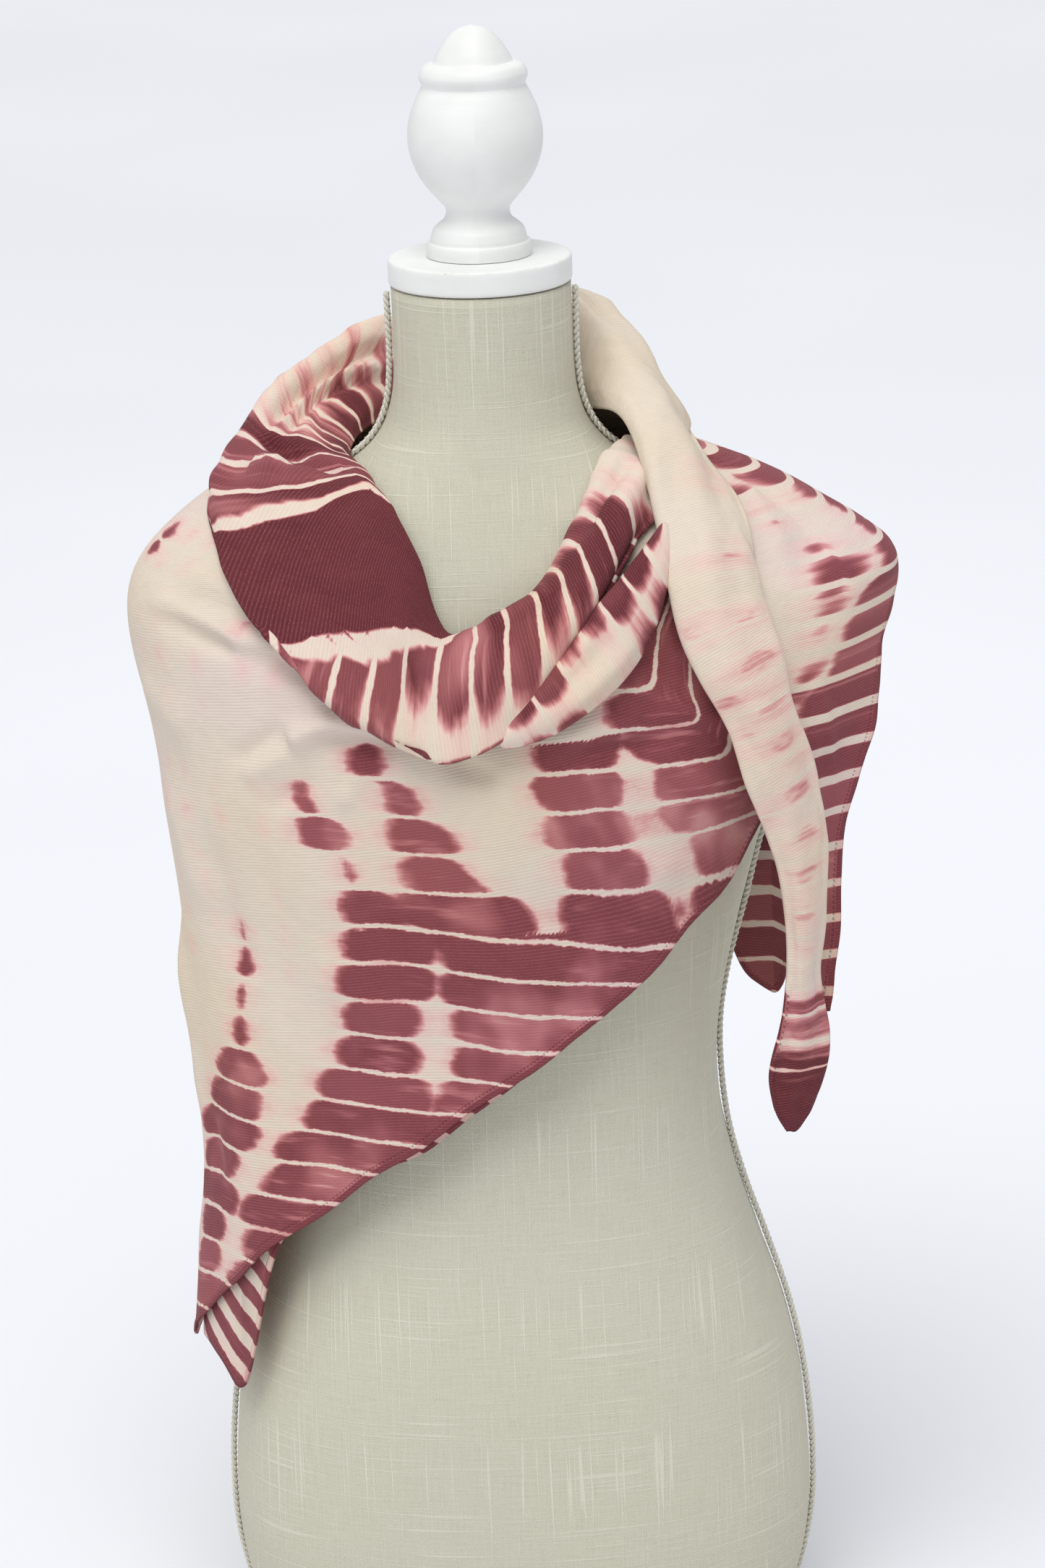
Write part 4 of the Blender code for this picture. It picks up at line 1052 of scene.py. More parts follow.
# azimuth and z of both ends, half width, height: folds of the front fall.
# They start at the near shoulder, gather below the cowl and fade towards the hem.
FRONT_CREASES = [
    (-79.0, 664.0, -50.0, 644.0, 6.0, 2.6),
    (-74.0, 668.5, -55.0, 655.0, 5.0, -2.2),
    (-75.0, 658.0, -56.0, 640.0, 5.5, -2.8),
    (-58.0, 642.0, -37.0, 626.0, 6.5, -2.4),
    (-47.0, 594.0, -35.0, 611.5, 8.0, 4.2),
    (-38.0, 610.5, -24.0, 606.0, 7.0, 3.4),
    (-42.0, 598.0, -22.0, 594.5, 5.5, -2.8),
    (-57.0, 568.0, -44.0, 594.0, 5.5, 1.5),
    (-60.0, 576.0, -48.0, 604.0, 4.5, -1.4),
    (-53.0, 552.0, -40.0, 580.0, 6.0, -1.3),
    (-36.0, 556.0, -30.0, 588.0, 6.5, 1.3),
    (-14.0, 590.0, 2.0, 573.0, 7.0, -1.6),
    (8.0, 596.0, 34.0, 604.0, 8.0, 2.0),
    (16.0, 586.0, 44.0, 592.0, 6.0, -1.7),
    (36.0, 612.0, 60.0, 590.0, 7.0, 2.0),
    (40.0, 566.0, 62.0, 548.0, 9.0, 1.6),
    (-84.0, 612.0, -66.0, 588.0, 13.0, 1.8),
    (-80.0, 560.0, -68.0, 480.0, 15.0, 2.0),
    (-70.0, 540.0, -62.0, 440.0, 12.0, -1.8),
    (-88.0, 470.0, -79.0, 330.0, 11.0, 2.6),
    (-84.0, 420.0, -74.0, 300.0, 8.0, -1.6),
    (-95.0, 520.0, -90.0, 260.0, 10.0, -1.8),
    (-48.0, 470.0, -20.0, 420.0, 16.0, 1.1),
    (-6.0, 520.0, 26.0, 470.0, 15.0, -1.1),
    (20.0, 540.0, 46.0, 505.0, 10.0, 1.3),
]
# and of the back fall: long ones from the shoulder blades, shorter ones between them
BACK_CREASES = [
    (-112.0, 700.0, -118.0, 560.0, 11.0, 2.6),
    (-122.0, 690.0, -127.0, 520.0, 9.0, -2.4),
    (-128.0, 640.0, -131.0, 420.0, 12.0, 2.2),
    (-146.0, 716.0, -142.0, 560.0, 10.0, 2.4),
    (-151.0, 690.0, -150.0, 500.0, 8.0, -2.2),
    (-160.0, 640.0, -158.0, 430.0, 11.0, 1.9),
    (-184.0, 722.0, -178.0, 610.0, 9.0, 2.0),
    (-190.0, 700.0, -187.0, 540.0, 8.0, -2.3),
    (-206.0, 724.0, -200.0, 590.0, 10.0, 2.5),
    (-214.0, 700.0, -210.0, 560.0, 8.0, -2.1),
    (-226.0, 716.0, -222.0, 610.0, 9.0, 1.9),
    (-240.0, 706.0, -236.0, 620.0, 8.0, -1.8),
    (-250.0, 700.0, -249.0, 640.0, 8.0, 1.6),
    (-104.0, 640.0, -106.0, 400.0, 11.0, -2.2),
    (-100.0, 440.0, -99.0, 280.0, 9.0, 1.8),
    (-172.0, 560.0, -166.0, 440.0, 8.0, -1.5),
]

# q, and how far from the fold line the burgundy starts in that row, both in metres
INNER = [
    (0.05, 0.330), (0.30, 0.350), (0.375, 0.352), (0.385, 0.340), (0.399, 0.338), (0.402, 0.284), (0.420, 0.286),
    (0.441, 0.294), (0.462, 0.296), (0.500, 0.296), (0.5065, 0.171), (0.525, 0.168), (0.546, 0.160), (0.567, 0.153),
    (0.588, 0.143), (0.609, 0.133), (0.630, 0.120), (0.651, 0.104), (0.672, 0.090), (0.693, 0.080), (0.720, 0.072),
    (0.745, 0.040), (0.770, 0.012), (0.790, -0.012), (0.860, -0.030),
]
# islands of dye: q, middle, half length, all in metres
ISLANDS = [
    [(0.396, 0.196, -0.010), (0.404, 0.196, 0.014), (0.416, 0.196, 0.016), (0.424, 0.213, 0.005), (0.436, 0.213, 0.009),
     (0.448, 0.220, 0.013), (0.462, 0.222, 0.018), (0.474, 0.226, 0.024), (0.485, 0.236, 0.034), (0.500, 0.238, 0.036), (0.515, 0.24, -0.02)],
    [(0.415, 0.150, -0.010), (0.424, 0.155, 0.002), (0.434, 0.156, 0.005), (0.446, 0.166, 0.010), (0.458, 0.168, 0.011),
     (0.466, 0.177, 0.005), (0.480, 0.179, 0.007), (0.488, 0.190, 0.017), (0.502, 0.190, 0.018), (0.515, 0.19, -0.01)],
    [(0.500, 0.098, -0.012), (0.515, 0.098, -0.001), (0.540, 0.098, 0.003), (0.556, 0.094, 0.006), (0.580, 0.090, 0.010),
     (0.600, 0.085, 0.019), (0.625, 0.074, 0.025), (0.650, 0.060, 0.024), (0.675, 0.049, 0.023), (0.700, 0.046, 0.022),
     (0.730, 0.040, 0.020), (0.760, 0.020, 0.015), (0.780, 0.00, -0.01)],
    [(0.270, 0.028, -0.012), (0.285, 0.028, 0.002), (0.300, 0.030, 0.004), (0.312, 0.030, -0.012)],
    [(0.225, 0.050, -0.010), (0.240, 0.050, 0.004), (0.258, 0.050, 0.004), (0.266, 0.050, -0.010)],
    [(0.322, 0.130, -0.012), (0.332, 0.130, 0.000), (0.344, 0.130, 0.002), (0.352, 0.130, -0.012)],
    [(0.468, 0.070, -0.010), (0.476, 0.072, -0.003), (0.484, 0.078, -0.004), (0.492, 0.078, -0.012)],
]
# and pale places inside the dyed part
PALE = [
    [(0.405, 0.352, -0.01), (0.424, 0.358, 0.012), (0.445, 0.360, 0.012), (0.470, 0.372, 0.014), (0.495, 0.380, 0.008), (0.51, 0.38, -0.01)],
    [(0.500, 0.220, -0.012), (0.515, 0.219, 0.002), (0.560, 0.212, 0.005), (0.600, 0.206, 0.002), (0.620, 0.20, -0.012)],
    [(0.360, 0.330, -0.01), (0.370, 0.330, 0.012), (0.385, 0.325, 0.012), (0.392, 0.325, -0.01)],
]


def body_dyed(p, q):
    """Signed distance into the dye, metres: solid towards the hem, islands of it before that."""
    ap = np.abs(p)
    # the back was bound with the front, and came out much the same but not quite
    ap = ap + np.where(p < 0, 0.010 * np.sin(q * 33.0 + 1.0) - 0.006, 0.0)
    q_at, start = np.array(INNER).T
    inside = ap - np.interp(q, q_at, start)
    for island in ISLANDS:
        at_q, middle, half = np.array(island).T
        inside = np.maximum(inside, np.interp(q, at_q, half) - np.abs(ap - np.interp(q, at_q, middle)))
    for island in PALE:
        at_q, middle, half = np.array(island).T
        bare = np.interp(q, at_q, half) - np.abs(ap - np.interp(q, at_q, middle))
        inside = np.minimum(inside, np.maximum(-bare, -0.004))
    return inside


def fold_map(a, z):
    """p and q, metres, of points on the falls."""
    azs = np.linspace(80.0, -268.0, 175)
    levels = np.linspace(140.0, 770.0, 43)
    ag, zg = np.meshgrid(np.radians(azs), levels, indexing="ij")
    ring = polar(ag, body_radius(ag, zg), zg)
    ring[..., 2] = 0
    run = lengths(ring, 0)
    at_apex = np.array([np.interp(-APEX, -azs, run[:, k]) for k in range(len(levels))])
    run = (at_apex[None, :] - run) / 1000.0
    deg = np.degrees(a)
    fi = np.clip((80.0 - deg) / 2.0, 0, len(azs) - 1.001)
    fj = np.clip((z - 140.0) / 15.0, 0, len(levels) - 1.001)
    i, j = fi.astype(int), fj.astype(int)
    u, v = fi - i, fj - j
    p = (run[i, j] * (1 - u) + run[i + 1, j] * u) * (1 - v) + (
        run[i, j + 1] * (1 - u) + run[i + 1, j + 1] * u
    ) * v
    h = z / 1000.0
    ap = np.abs(p)
    tall = h + 0.6 * np.maximum(0, h - 0.655)
    droop = 0.15 * np.maximum(0, ap - 0.19) * (1 - smoothstep(0.46, 0.53, h))
    dip = 0.010 * (1 - smoothstep(0.0, 0.06, ap)) * (1 - smoothstep(0.36, 0.46, h))
    q = HALF - 0.972 * (tall + droop + dip - 0.196)
    p = p * (1 + 0.05 * smoothstep(0.26, 0.36, ap))
    return p, q


def hem_rows(count):
    """Offsets from the hem, mm: fine over the stitched edge."""
    return np.array([0.0, 0.7, 1.5, 2.4, 3.3, 4.2, 5.1, 6.4, 8.4, 11.0, 14.5][:count])


def hanging(az, hem, top, down, radius, seed, pucker=1.0, power=1.0):
    """A fall with a stitched hem: its grid, azimuth, z and the distance to the hem."""
    edge = hem_rows(11)
    t = np.linspace(0, 1, down - len(edge) + 1)[1:] ** power
    low = np.minimum(edge[None, :], (top - hem)[:, None] * edge[None, :] / 30.0)
    z = np.concatenate(
        [hem[:, None] + low, (hem + low[:, -1])[:, None] + (top - hem - low[:, -1])[:, None] * t[None, :]],
        axis=1,
    )
    a = np.radians(az)[:, None] + 0 * z
    r = radius(a, z)
    line = polar(a[:, 0], r[:, 0], 0 * r[:, 0])
    run = np.concatenate([[0.0], np.cumsum(np.linalg.norm(np.diff(line, axis=0), axis=1))])
    slope = np.abs(np.gradient(hem, np.maximum(run, run + 1e-6 * np.arange(len(run)))))
    distance = (z - hem[:, None]) / np.sqrt(1 + slope[:, None] ** 2)
    along_hem = run[:, None] + 0 * z
    thick = 0.40 * (1 - smoothstep(3.4, 5.0, distance))
    sewn = 0.22 * value_noise(along_hem / 3.1, distance / 9.0 + 5, seed) * np.exp(-distance / 7.0)
    ripple = pucker * (
        1.3 * value_noise(along_hem / 24.0, distance / 60.0 + 9, seed + 1) * np.exp(-distance / 26.0)
    )
    return a, z, r, distance, thick + sewn + ripple, run


def body_piece():
    across, down = 366, 116
    az = np.linspace(80.0, -267.4, across)
    front, back = at(FRONT, az), at(BACK, az)
    near = (az > -96.3)[:, None]
    hem, top = np.where(near, front, back).T
    hem = smooth(hem, 3, 0)
    a, z, r, distance, detail, run = hanging(az, hem, top, down, body_radius, 11)
    r = smooth(smooth(r, 26, 1), 5, 0)
    deg = np.degrees(a)
    u = deg * 2.75
    folds = 2.2 * crease(u, z, [(x0 * 2.75, z0, x1 * 2.75, z1, w, h) for x0, z0, x1, z1, w, h in FRONT_CREASES + BACK_CREASES])
    soft = 1.1 * value_noise(u / 34.0, z / 60.0, 21) + 0.5 * value_noise(u / 14.0 + z / 60.0, z / 34.0, 22)
    away = smoothstep(0.0, 6.0, distance)
    r = np.maximum(r + folds + soft * away + detail, torso_radius(a, z) + 2.4)
    grid = polar(a, r, z)
    p, q = fold_map(a, z)
    dye = np.stack([p, q], -1)
    dyed = body_dyed(p, q)
    return cloth(
        "shawl_falls", grid, dye, dye, dyed, distance / 1000.0, TWILL,
        ["shawl_front", "shawl_back"],
    )


# ---------------------------------------------------------------- cowl, collar and hanging end


# azimuth, place across the section 0..1, to the same, half width, height: folds of the cowl.
# Along the collar they run with it; at the near side they turn down and meet in a pinch.
COWL_CREASES = [
    (-84.0, 0.60, -140.0, 0.26, 4.6, -7.0),
    (-80.0, 0.56, -134.0, 0.17, 4.0, -5.5),
    (-82.0, 0.58, -138.0, 0.215, 3.6, 3.0),
    (-88.0, 0.70, -146.0, 0.44, 6.0, 3.2),
    (-92.0, 0.80, -150.0, 0.62, 5.0, -2.6),
    (-74.0, 0.47, -87.0, 0.62, 4.2, -5.5),
    (-70.0, 0.56, -79.0, 0.66, 4.0, 3.4),
    (-60.0, 0.42, -78.0, 0.56, 4.5, -4.0),
    (-62.0, 0.50, -76.0, 0.63, 4.0, 2.4),
    (-66.0, 0.60, -84.0, 0.74, 5.0, -2.2),
    (-68.0, 0.68, -88.0, 0.82, 5.5, 2.2),
    (-44.0, 0.80, -18.0, 0.78, 7.0, 2.4),
    (-42.0, 0.70, -12.0, 0.66, 6.5, -2.4),
    (-30.0, 0.84, -12.0, 0.90, 4.5, -3.4),
    (-24.0, 0.58, 8.0, 0.72, 6.0, 2.0),
    (-10.0, 0.56, 26.0, 0.62, 5.0, -3.0),
    (-4.0, 0.70, 36.0, 0.72, 6.0, 2.6),
    (6.0, 0.84, 50.0, 0.80, 4.5, -3.6),
    (20.0, 0.50, 62.0, 0.56, 4.5, -3.2),
    (34.0, 0.66, 72.0, 0.66, 5.5, 2.6),
    (-160.0, 0.46, -212.0, 0.50, 5.0, -3.4),
    (-168.0, 0.64, -226.0, 0.66, 6.0, 2.8),
    (-176.0, 0.76, -214.0, 0.80, 4.5, -2.8),
    (-206.0, 0.42, -252.0, 0.46, 4.5, -2.6),
    (-222.0, 0.58, -264.0, 0.60, 6.0, 2.6),
]

# azimuth, then how far into the dye, mm, at six places from the neck side to the outer side
COWL_DYED = [
    (80.0, -20, -20, -16, -8, 0, 4),
    (60.0, -18, -18, -13, -5, 3, 6),
    (45.0, -12, -12, -9, -2, 6, 9),
    (35.0, -6, -6, -5, 4, 10, 10),
    (20.0, 12, 12, 8, 13, 6, 9),
    (5.0, 18, 18, 16, 14, -4, 6),
    (-10.0, 20, 20, 18, 13, -8, 7),
    (-22.0, 30, 30, 24, 14, -2, 10),
    (-33.0, 30, 30, 26, 22, 8, 10),
    (-40.0, 24, 24, 26, 30, 18, 20),
    (-48.0, 14, 14, 26, 30, 30, 30),
    (-58.0, 10, 10, 14, 30, 30, 30),
    (-68.0, 10, 9, 9, 16, 30, 30),
    (-74.0, 12, 9, 7, 8, 14, 14),
    (-84.0, 8, 5, 3, 4, 5, 4),
    (-94.0, 7, 5, 0, -1, 2, 1),
    (-106.0, 7, 4, -2, -4, -1, -3),
    (-122.0, 5, 0, -5, -7, -3, -5),
    (-142.0, -4, -8, -10, -12, -9, -9),
    (-160.0, -20, -20, -20, -22, -20, -20),
    (-230.0, -25, -25, -25, -25, -25, -25),
    (-267.0, -22, -22, -22, -20, -20, -18),
]


# millimetres down the hanging end, off its row of spots, size: the small spots of dye on it
TAIL_SPOTS = [
    (60.0, 8.0, 1.4), (112.0, 3.0, 1.0), (150.0, 0.0, 1.4), (177.0, 0.0, 3.2), (201.0, 1.0, 3.6), (224.0, 0.0, 2.6), (239.0, 9.0, 1.2),
    (255.0, -1.0, 3.2), (280.0, 1.0, 2.4), (303.0, 0.0, 3.0), (329.0, -1.0, 3.0), (350.0, 2.0, 2.0),
]


# the solid patch's two tied edges: place across the section, azimuth
LOW_LINE = ([0.0, 0.40, 0.50, 0.59, 0.665, 0.72, 0.80, 1.0], [-8.0, -10.0, -13.0, -21.0, -30.0, -39.0, -46.0, -51.0])
HIGH_LINE = ([0.0, 0.36, 0.42, 0.48, 0.57, 0.67, 0.78, 1.0], [-37.0, -40.0, -49.0, -52.0, -55.0, -64.0, -71.0, -76.0])


def cowl_rows(deg, t, reach):
    """p, metres: nought on the solid patch, then a line every 21 mm both ways along the cowl."""
    low, high = np.interp(t, *LOW_LINE), np.interp(t, *HIGH_LINE)
    past_low, past_high = (deg - low) * 2.1, (high - deg) * 1.9
    forward = 0.0645 + np.maximum(reach(-42.0) - reach(deg), 0.001 + past_low * 0.0003)
    behind = -(0.0645 + np.maximum(reach(deg) - reach(high), 0.0))
    low_slope = (np.interp(t + 0.012, LOW_LINE[0], LOW_LINE[1]) - np.interp(t - 0.012, LOW_LINE[0], LOW_LINE[1])) / 0.024 * 0.02
    high_slope = (np.interp(t + 0.012, HIGH_LINE[0], HIGH_LINE[1]) - np.interp(t - 0.012, HIGH_LINE[0], HIGH_LINE[1])) / 0.024 * 0.02
    from_low = np.abs(past_low) / np.sqrt(1 + low_slope**2)
    from_high = np.abs(past_high) / np.sqrt(1 + high_slope**2)
    inside = np.maximum(0.043 - from_low * 0.0015, 0.0) - np.maximum(0.043 - from_high * 0.0015, 0.0)
    p = np.where(past_low > 0, forward, np.where(past_high > 0, behind, inside))
    return p, np.minimum(from_low, from_high) / 1000.0


def chart(table, deg, t):
    """Reads a small chart at any azimuth and any place across the section."""
    rows = at(table, deg)
    x = np.clip(t, 0, 1) * (rows.shape[-1] - 1)
    i = np.clip(x.astype(int), 0, rows.shape[-1] - 2)
    f = x - i
    f = f * f * (3 - 2 * f)
    low = np.take_along_axis(rows, i[..., None], -1)[..., 0]
    high = np.take_along_axis(rows, i[..., None] + 1, -1)[..., 0]
    return low * (1 - f) + high * f


def strip_piece():
    around, ahead, bridge, hang = 41, 352, 10, 210
    cowl = cowl_grid(80.0, -267.0, ahead, around)
    roll = lying_on(roll_grid(TAIL, hang, around), 8.5)[:, ::-1]
    w = smoothstep(0, 1, np.linspace(0, 1, bridge + 2)[1:-1])[:, None, None]
    grid = np.concatenate([cowl, cowl[-1] * (1 - w) + roll[0] * w, roll])
    before = np.array(grid)
    grid = smooth(grid, 10, 0)
    blend = np.zeros(len(grid))
    middle = ahead + bridge // 2
    blend[middle - 26 : middle + 26] = 1.0
    blend = smooth(blend, 60, 0)[:, None, None]
    grid = grid + (smooth(before, 130, 0) - grid) * blend
    grid = smooth(grid, 3, 1)
    t = np.linspace(0, 1, around)[None, :] + np.zeros((len(grid), 1))
    deg = np.concatenate([np.linspace(80.0, -267.0, ahead), np.linspace(-268.0, -420.0, bridge + hang)])
    deg = deg[:, None] + 0 * t
    u, v = deg * 2.1, t * 105.0
    folds = 1.9 * crease(u, v, [(x0 * 2.1, t0 * 105.0, x1 * 2.1, t1 * 105.0, w, h) for x0, t0, x1, t1, w, h in COWL_CREASES])
    folds = np.maximum(folds, -10.0)
    folds += 0.9 * value_noise(u / 20.0, v / 17.0, 31) + 0.45 * value_noise(u / 8.0, v / 9.0, 32)
    ridge = lengths(grid[:, 14:20].mean(axis=1)[:, None], 0)[:, 0] / 1000.0
    outer_run = lengths(grid, 0)[:, 25] / 1000.0

    def reach(azimuth):
        return np.interp(-azimuth, -deg[:, 0], outer_run)

    p, bound = cowl_rows(deg, t, reach)
    bound = np.where(deg < -266.0, 0.05, bound)
    down = lengths(grid, 1) / 1000.0
    tip = ridge[-1] - ridge
    # the hanging end: wrinkles along it, tighter where it narrows, and a pinch where it leaves the neck
    on_tail = smoothstep(ahead - 40, ahead + 30, np.arange(len(grid)))[:, None]
    run = ridge[:, None] * 1000.0
    long_folds = 1.1 * np.sin(t * 17.0 + 1.6 * value_noise(run / 70.0, 3 * t, 41)) * smoothstep(0.0, 60.0, tip * 1000)[:, None]
    # each row between two tied lines stands out a little
    pillow = np.abs(np.sin(math.pi * p / 0.021)) - 0.6
    pillow = pillow * (0.9 + 0.5 * value_noise(u / 30.0, v / 20.0, 33)) * (bound > 0.002) * (np.abs(p) > 0.055)
    folds += (1 - on_tail) * smooth(pillow, 2, 0) * 0.75
    folds += on_tail * (long_folds * 0.8 + 1.2 * value_noise(run / 34.0, 5.5 * t, 42))
    normal = normals_of(grid)
    outward = (normal * grid * np.array([1.0, 1.0, 0.6])).sum()
    normal = normal if outward > 0 else -normal
    inside = smoothstep(0.02, 0.14, t) * smoothstep(1.0, 0.90, t)
    grid = grid + normal * (folds * inside)[..., None]
    q = 0.5 * (down - 0.055)
    dyed = np.zeros_like(t)
    dyed[:ahead] = chart(COWL_DYED, deg[:ahead], t[:ahead]) / 1000.0
    dyed += 0.015 * smoothstep(0.79, 0.86, t) * smoothstep(-34.0, -25.0, deg) * smoothstep(12.0, 2.0, deg)
    far_row = np.interp(tip, [0.04, 0.13, 0.20, 0.30], [0.40, 0.43, 0.56, 0.58])[:, None]
    tail = -0.024 + 0.0 * t
    across_mm = (t - far_row) * 62.0
    for number, (spot, shift, size) in enumerate(TAIL_SPOTS):
        off = np.hypot((ridge - ridge[ahead + bridge])[:, None] * 1000.0 - spot, (across_mm - shift) * 0.55)
        tail = np.maximum(tail, (0.75 * size - off) / 1000.0)
    across_mm = (t - 0.265) * 62.0
    for spot, shift, size in ((149.0, 0.0, 2.6), (192.0, -1.0, 2.8), (214.0, 1.0, 1.6), (262.0, -2.0, 1.8)):
        off = np.hypot((ridge - ridge[ahead + bridge])[:, None] * 1000.0 - spot, (across_mm - shift) * 0.55)
        tail = np.maximum(tail, (0.75 * size - off) / 1000.0)
    tail = np.minimum(tail, -0.0012)
    tail = tail + (0.002 - tail) * smoothstep(0.105, 0.075, tip)[:, None]
    tail = tail + (0.040 - tail) * smoothstep(0.046, 0.038, tip)[:, None]
    dyed = dyed + (tail - dyed) * on_tail
    hem = np.minimum(down, (down[:, -1:] - down))
    hem = hem + 0.05 * smoothstep(0.085, 0.12, tip)[:, None]
    hem = np.minimum(hem, 0.0008 + tip[:, None])
    p = np.maximum(p, (p[ahead - 1, 0] - (ridge[-1] - ridge[ahead - 1]) + 0.050))
    p = p - (p + 0.004 + 1.35 * tip[:, None]) * on_tail
    # towards the tip the rows bend round it, as the square's corner does
    bend = smoothstep(0.15, 0.0, tip)[:, None] * 0.007 * (1 - (2 * t - 1) ** 2)
    dye = np.stack([p - bend, q], -1)
    weave = np.stack([down, ridge[:, None] + 0 * t], -1)
    return cloth(
        "shawl_cowl_and_end", grid, dye, weave, dyed, hem, TWILL_DOUBLED_AND_SHADED,
        ["shawl_cowl", "shawl_collar", "shawl_tail"],
        bound, on_tail * smoothstep(0.07, 0.10, tip)[:, None] - 0.16 * (1 - on_tail) + 0 * t,
    )


# ---------------------------------------------------------------- the smaller stretches


def shoulder_piece():
    across, down = 56, 150
    grid = shoulder_grid(across, down)
    grid = smooth(smooth(grid, 12, 0), 4, 1)
    u = np.linspace(0, 1, across)[None, :] + np.zeros((down, 1))
    z = grid[..., 2]
    wide = lengths(grid, 1) / 1000.0
    hem = wide[:, -1:] - wide
    long = lengths(grid, 0) / 1000.0
    total = long[-1:, :]
    long = np.where(z[0:1, :] > z[-1:, :], long, total - long)
    mm = long * 1000.0
    folds = crease(
        mm, wide * 1000.0,
        [
            (60.0, 60.0, 150.0, 84.0, 9.0, 2.2), (20.0, 60.0, 90.0, 96.0, 8.0, -1.8), (120.0, 30.0, 220.0, 52.0, 8.0, -2.0),
            (150.0, 44.0, 280.0, 40.0, 6.0, 1.8), (40.0, 20.0, 120.0, 40.0, 8.0, 1.6), (200.0, 18.0, 320.0, 18.0, 5.0, -1.4),
        ],
    )
    folds += 0.6 * value_noise(mm / 30.0, wide * 30.0, 51) + 0.3 * value_noise(mm / 12.0, wide * 80.0, 52)
    folds += (0.40 * (1 - smoothstep(0.0034, 0.0050, hem))) + 1.5 * value_noise(mm / 26.0, 0 * mm + 4, 53) * np.exp(-hem / 0.020)
    normal = normals_of(grid)
    normal = normal if (normal * grid * np.array([1.0, 1.0, 0.6])).sum() > 0 else -normal
    edges = smoothstep(0.0, 0.10, u)
    grid = grid + normal * (folds * edges)[..., None]
    reach = np.interp(
        z, [430.0, 500.0, 540.0, 580.0, 600.0, 618.0, 636.0, 655.0, 668.0, 690.0, 740.0],
        [0.100, 0.088, 0.078, 0.066, 0.062, 0.050, 0.058, 0.042, 0.034, 0.026, 0.020],
    )
    dyed = reach - hem
    for down_at, in_at, size in ((38.0, 58.0, 5.0), (60.0, 44.0, 6.0), (84.0, 60.0, 6.5), (108.0, 62.0, 5.5), (128.0, 68.0, 6.5), (150.0, 72.0, 6.0), (176.0, 68.0, 5.0)):
        dyed = np.maximum(dyed, (size - np.hypot((mm - down_at), (hem * 1000.0 - in_at) * 0.6)) / 1000.0)
    hem = hem + 0.05 * smoothstep(640.0, 668.0, z)
    # over the shoulder's top the cloth goes on behind, on the fall that hangs there
    far = smoothstep(0.55, 1.0, u) * smoothstep(640.0, 668.0, z)
    a, r = np.arctan2(grid[..., 0], -grid[..., 1]), np.hypot(grid[..., 0], grid[..., 1])
    gap = r - under_radius(a, z)
    wrapped = a + math.radians(4.5) * far
    high = smoothstep(0.40, 0.82, u) * smoothstep(640.0, 664.0, z)
    inner = under_radius(wrapped, z)
    carried = polar(wrapped, inner + gap * (1 - high) + high * np.maximum(over_radius(wrapped, z) + 2.7 - inner, gap), z)
    grid = np.where((far > 0.001)[..., None], carried, grid)
    p = 0.02 + 0 * mm
    order = np.argsort(z[:, -1])
    q = 0.14 + np.interp(z, z[order, -1], long[order, -1])
    dye = np.stack([p, q], -1)
    weave = np.stack([wide, q], -1)
    return cloth(
        "shawl_far_shoulder", grid, dye, weave, dyed, hem, TWILL,
        ["shawl_shoulder"], None, -0.42 + 0 * mm,
    )


def corner_piece():
    across, down = 120, 76
    az = np.linspace(80.6, 150.0, across)
    row = at(CORNER, az)

    def held(a, z):
        size = at(CORNER_FALL, z)
        r = plan_radius(a, size[..., 0], size[..., 0], size[..., 1], size[..., 1], DRAPE_POWER)
        folds = 2.2 * np.sin(np.degrees(a) * 0.30 + z * 0.020) * smoothstep(640.0, 500.0, z)
        return np.where(z < 652.0, np.maximum(under_radius(a, z), r + folds), under_radius(a, z))

    hem = smooth(row[:, 0], 2, 0)
    a, z, r, distance, detail, run = hanging(az, hem, row[:, 1], down, held, 61)
    r = smooth(smooth(r, 20, 1), 4, 0)
    u = np.degrees(a) * 2.9
    folds = crease(
        u, z,
        [
            (96.0 * 2.9, 650.0, 104.0 * 2.9, 470.0, 9.0, 2.6), (104.0 * 2.9, 640.0, 110.0 * 2.9, 440.0, 7.0, -2.2),
            (112.0 * 2.9, 660.0, 114.0 * 2.9, 480.0, 8.0, 2.0), (124.0 * 2.9, 680.0, 120.0 * 2.9, 540.0, 8.0, -1.8),
        ],
    )
    r = r + folds + 0.6 * value_noise(u / 22.0, z / 30.0, 62) + detail
    grid = polar(a, np.maximum(r, torso_radius(a, z) + 2.4), z)
    s = (run - np.interp(107.5, az, run)) / 1000.0
    s = s[:, None] + 0 * z
    q = 0.80 - (z - 381.0) / 1000.0 - 0.22 * np.abs(s)
    dye = np.stack([s * 0.3, q], -1)
    weave = np.stack([s, q], -1)
    dyed = np.interp(q, [0.40, 0.55, 0.62, 0.80], [-0.004, 0.008, 0.016, 0.022])
    return cloth(
        "shawl_far_corner", grid, dye, weave, dyed, distance / 1000.0, TWILL,
        ["shawl_corner"], None, -0.5 * smoothstep(0.775, 0.735, q),
    )


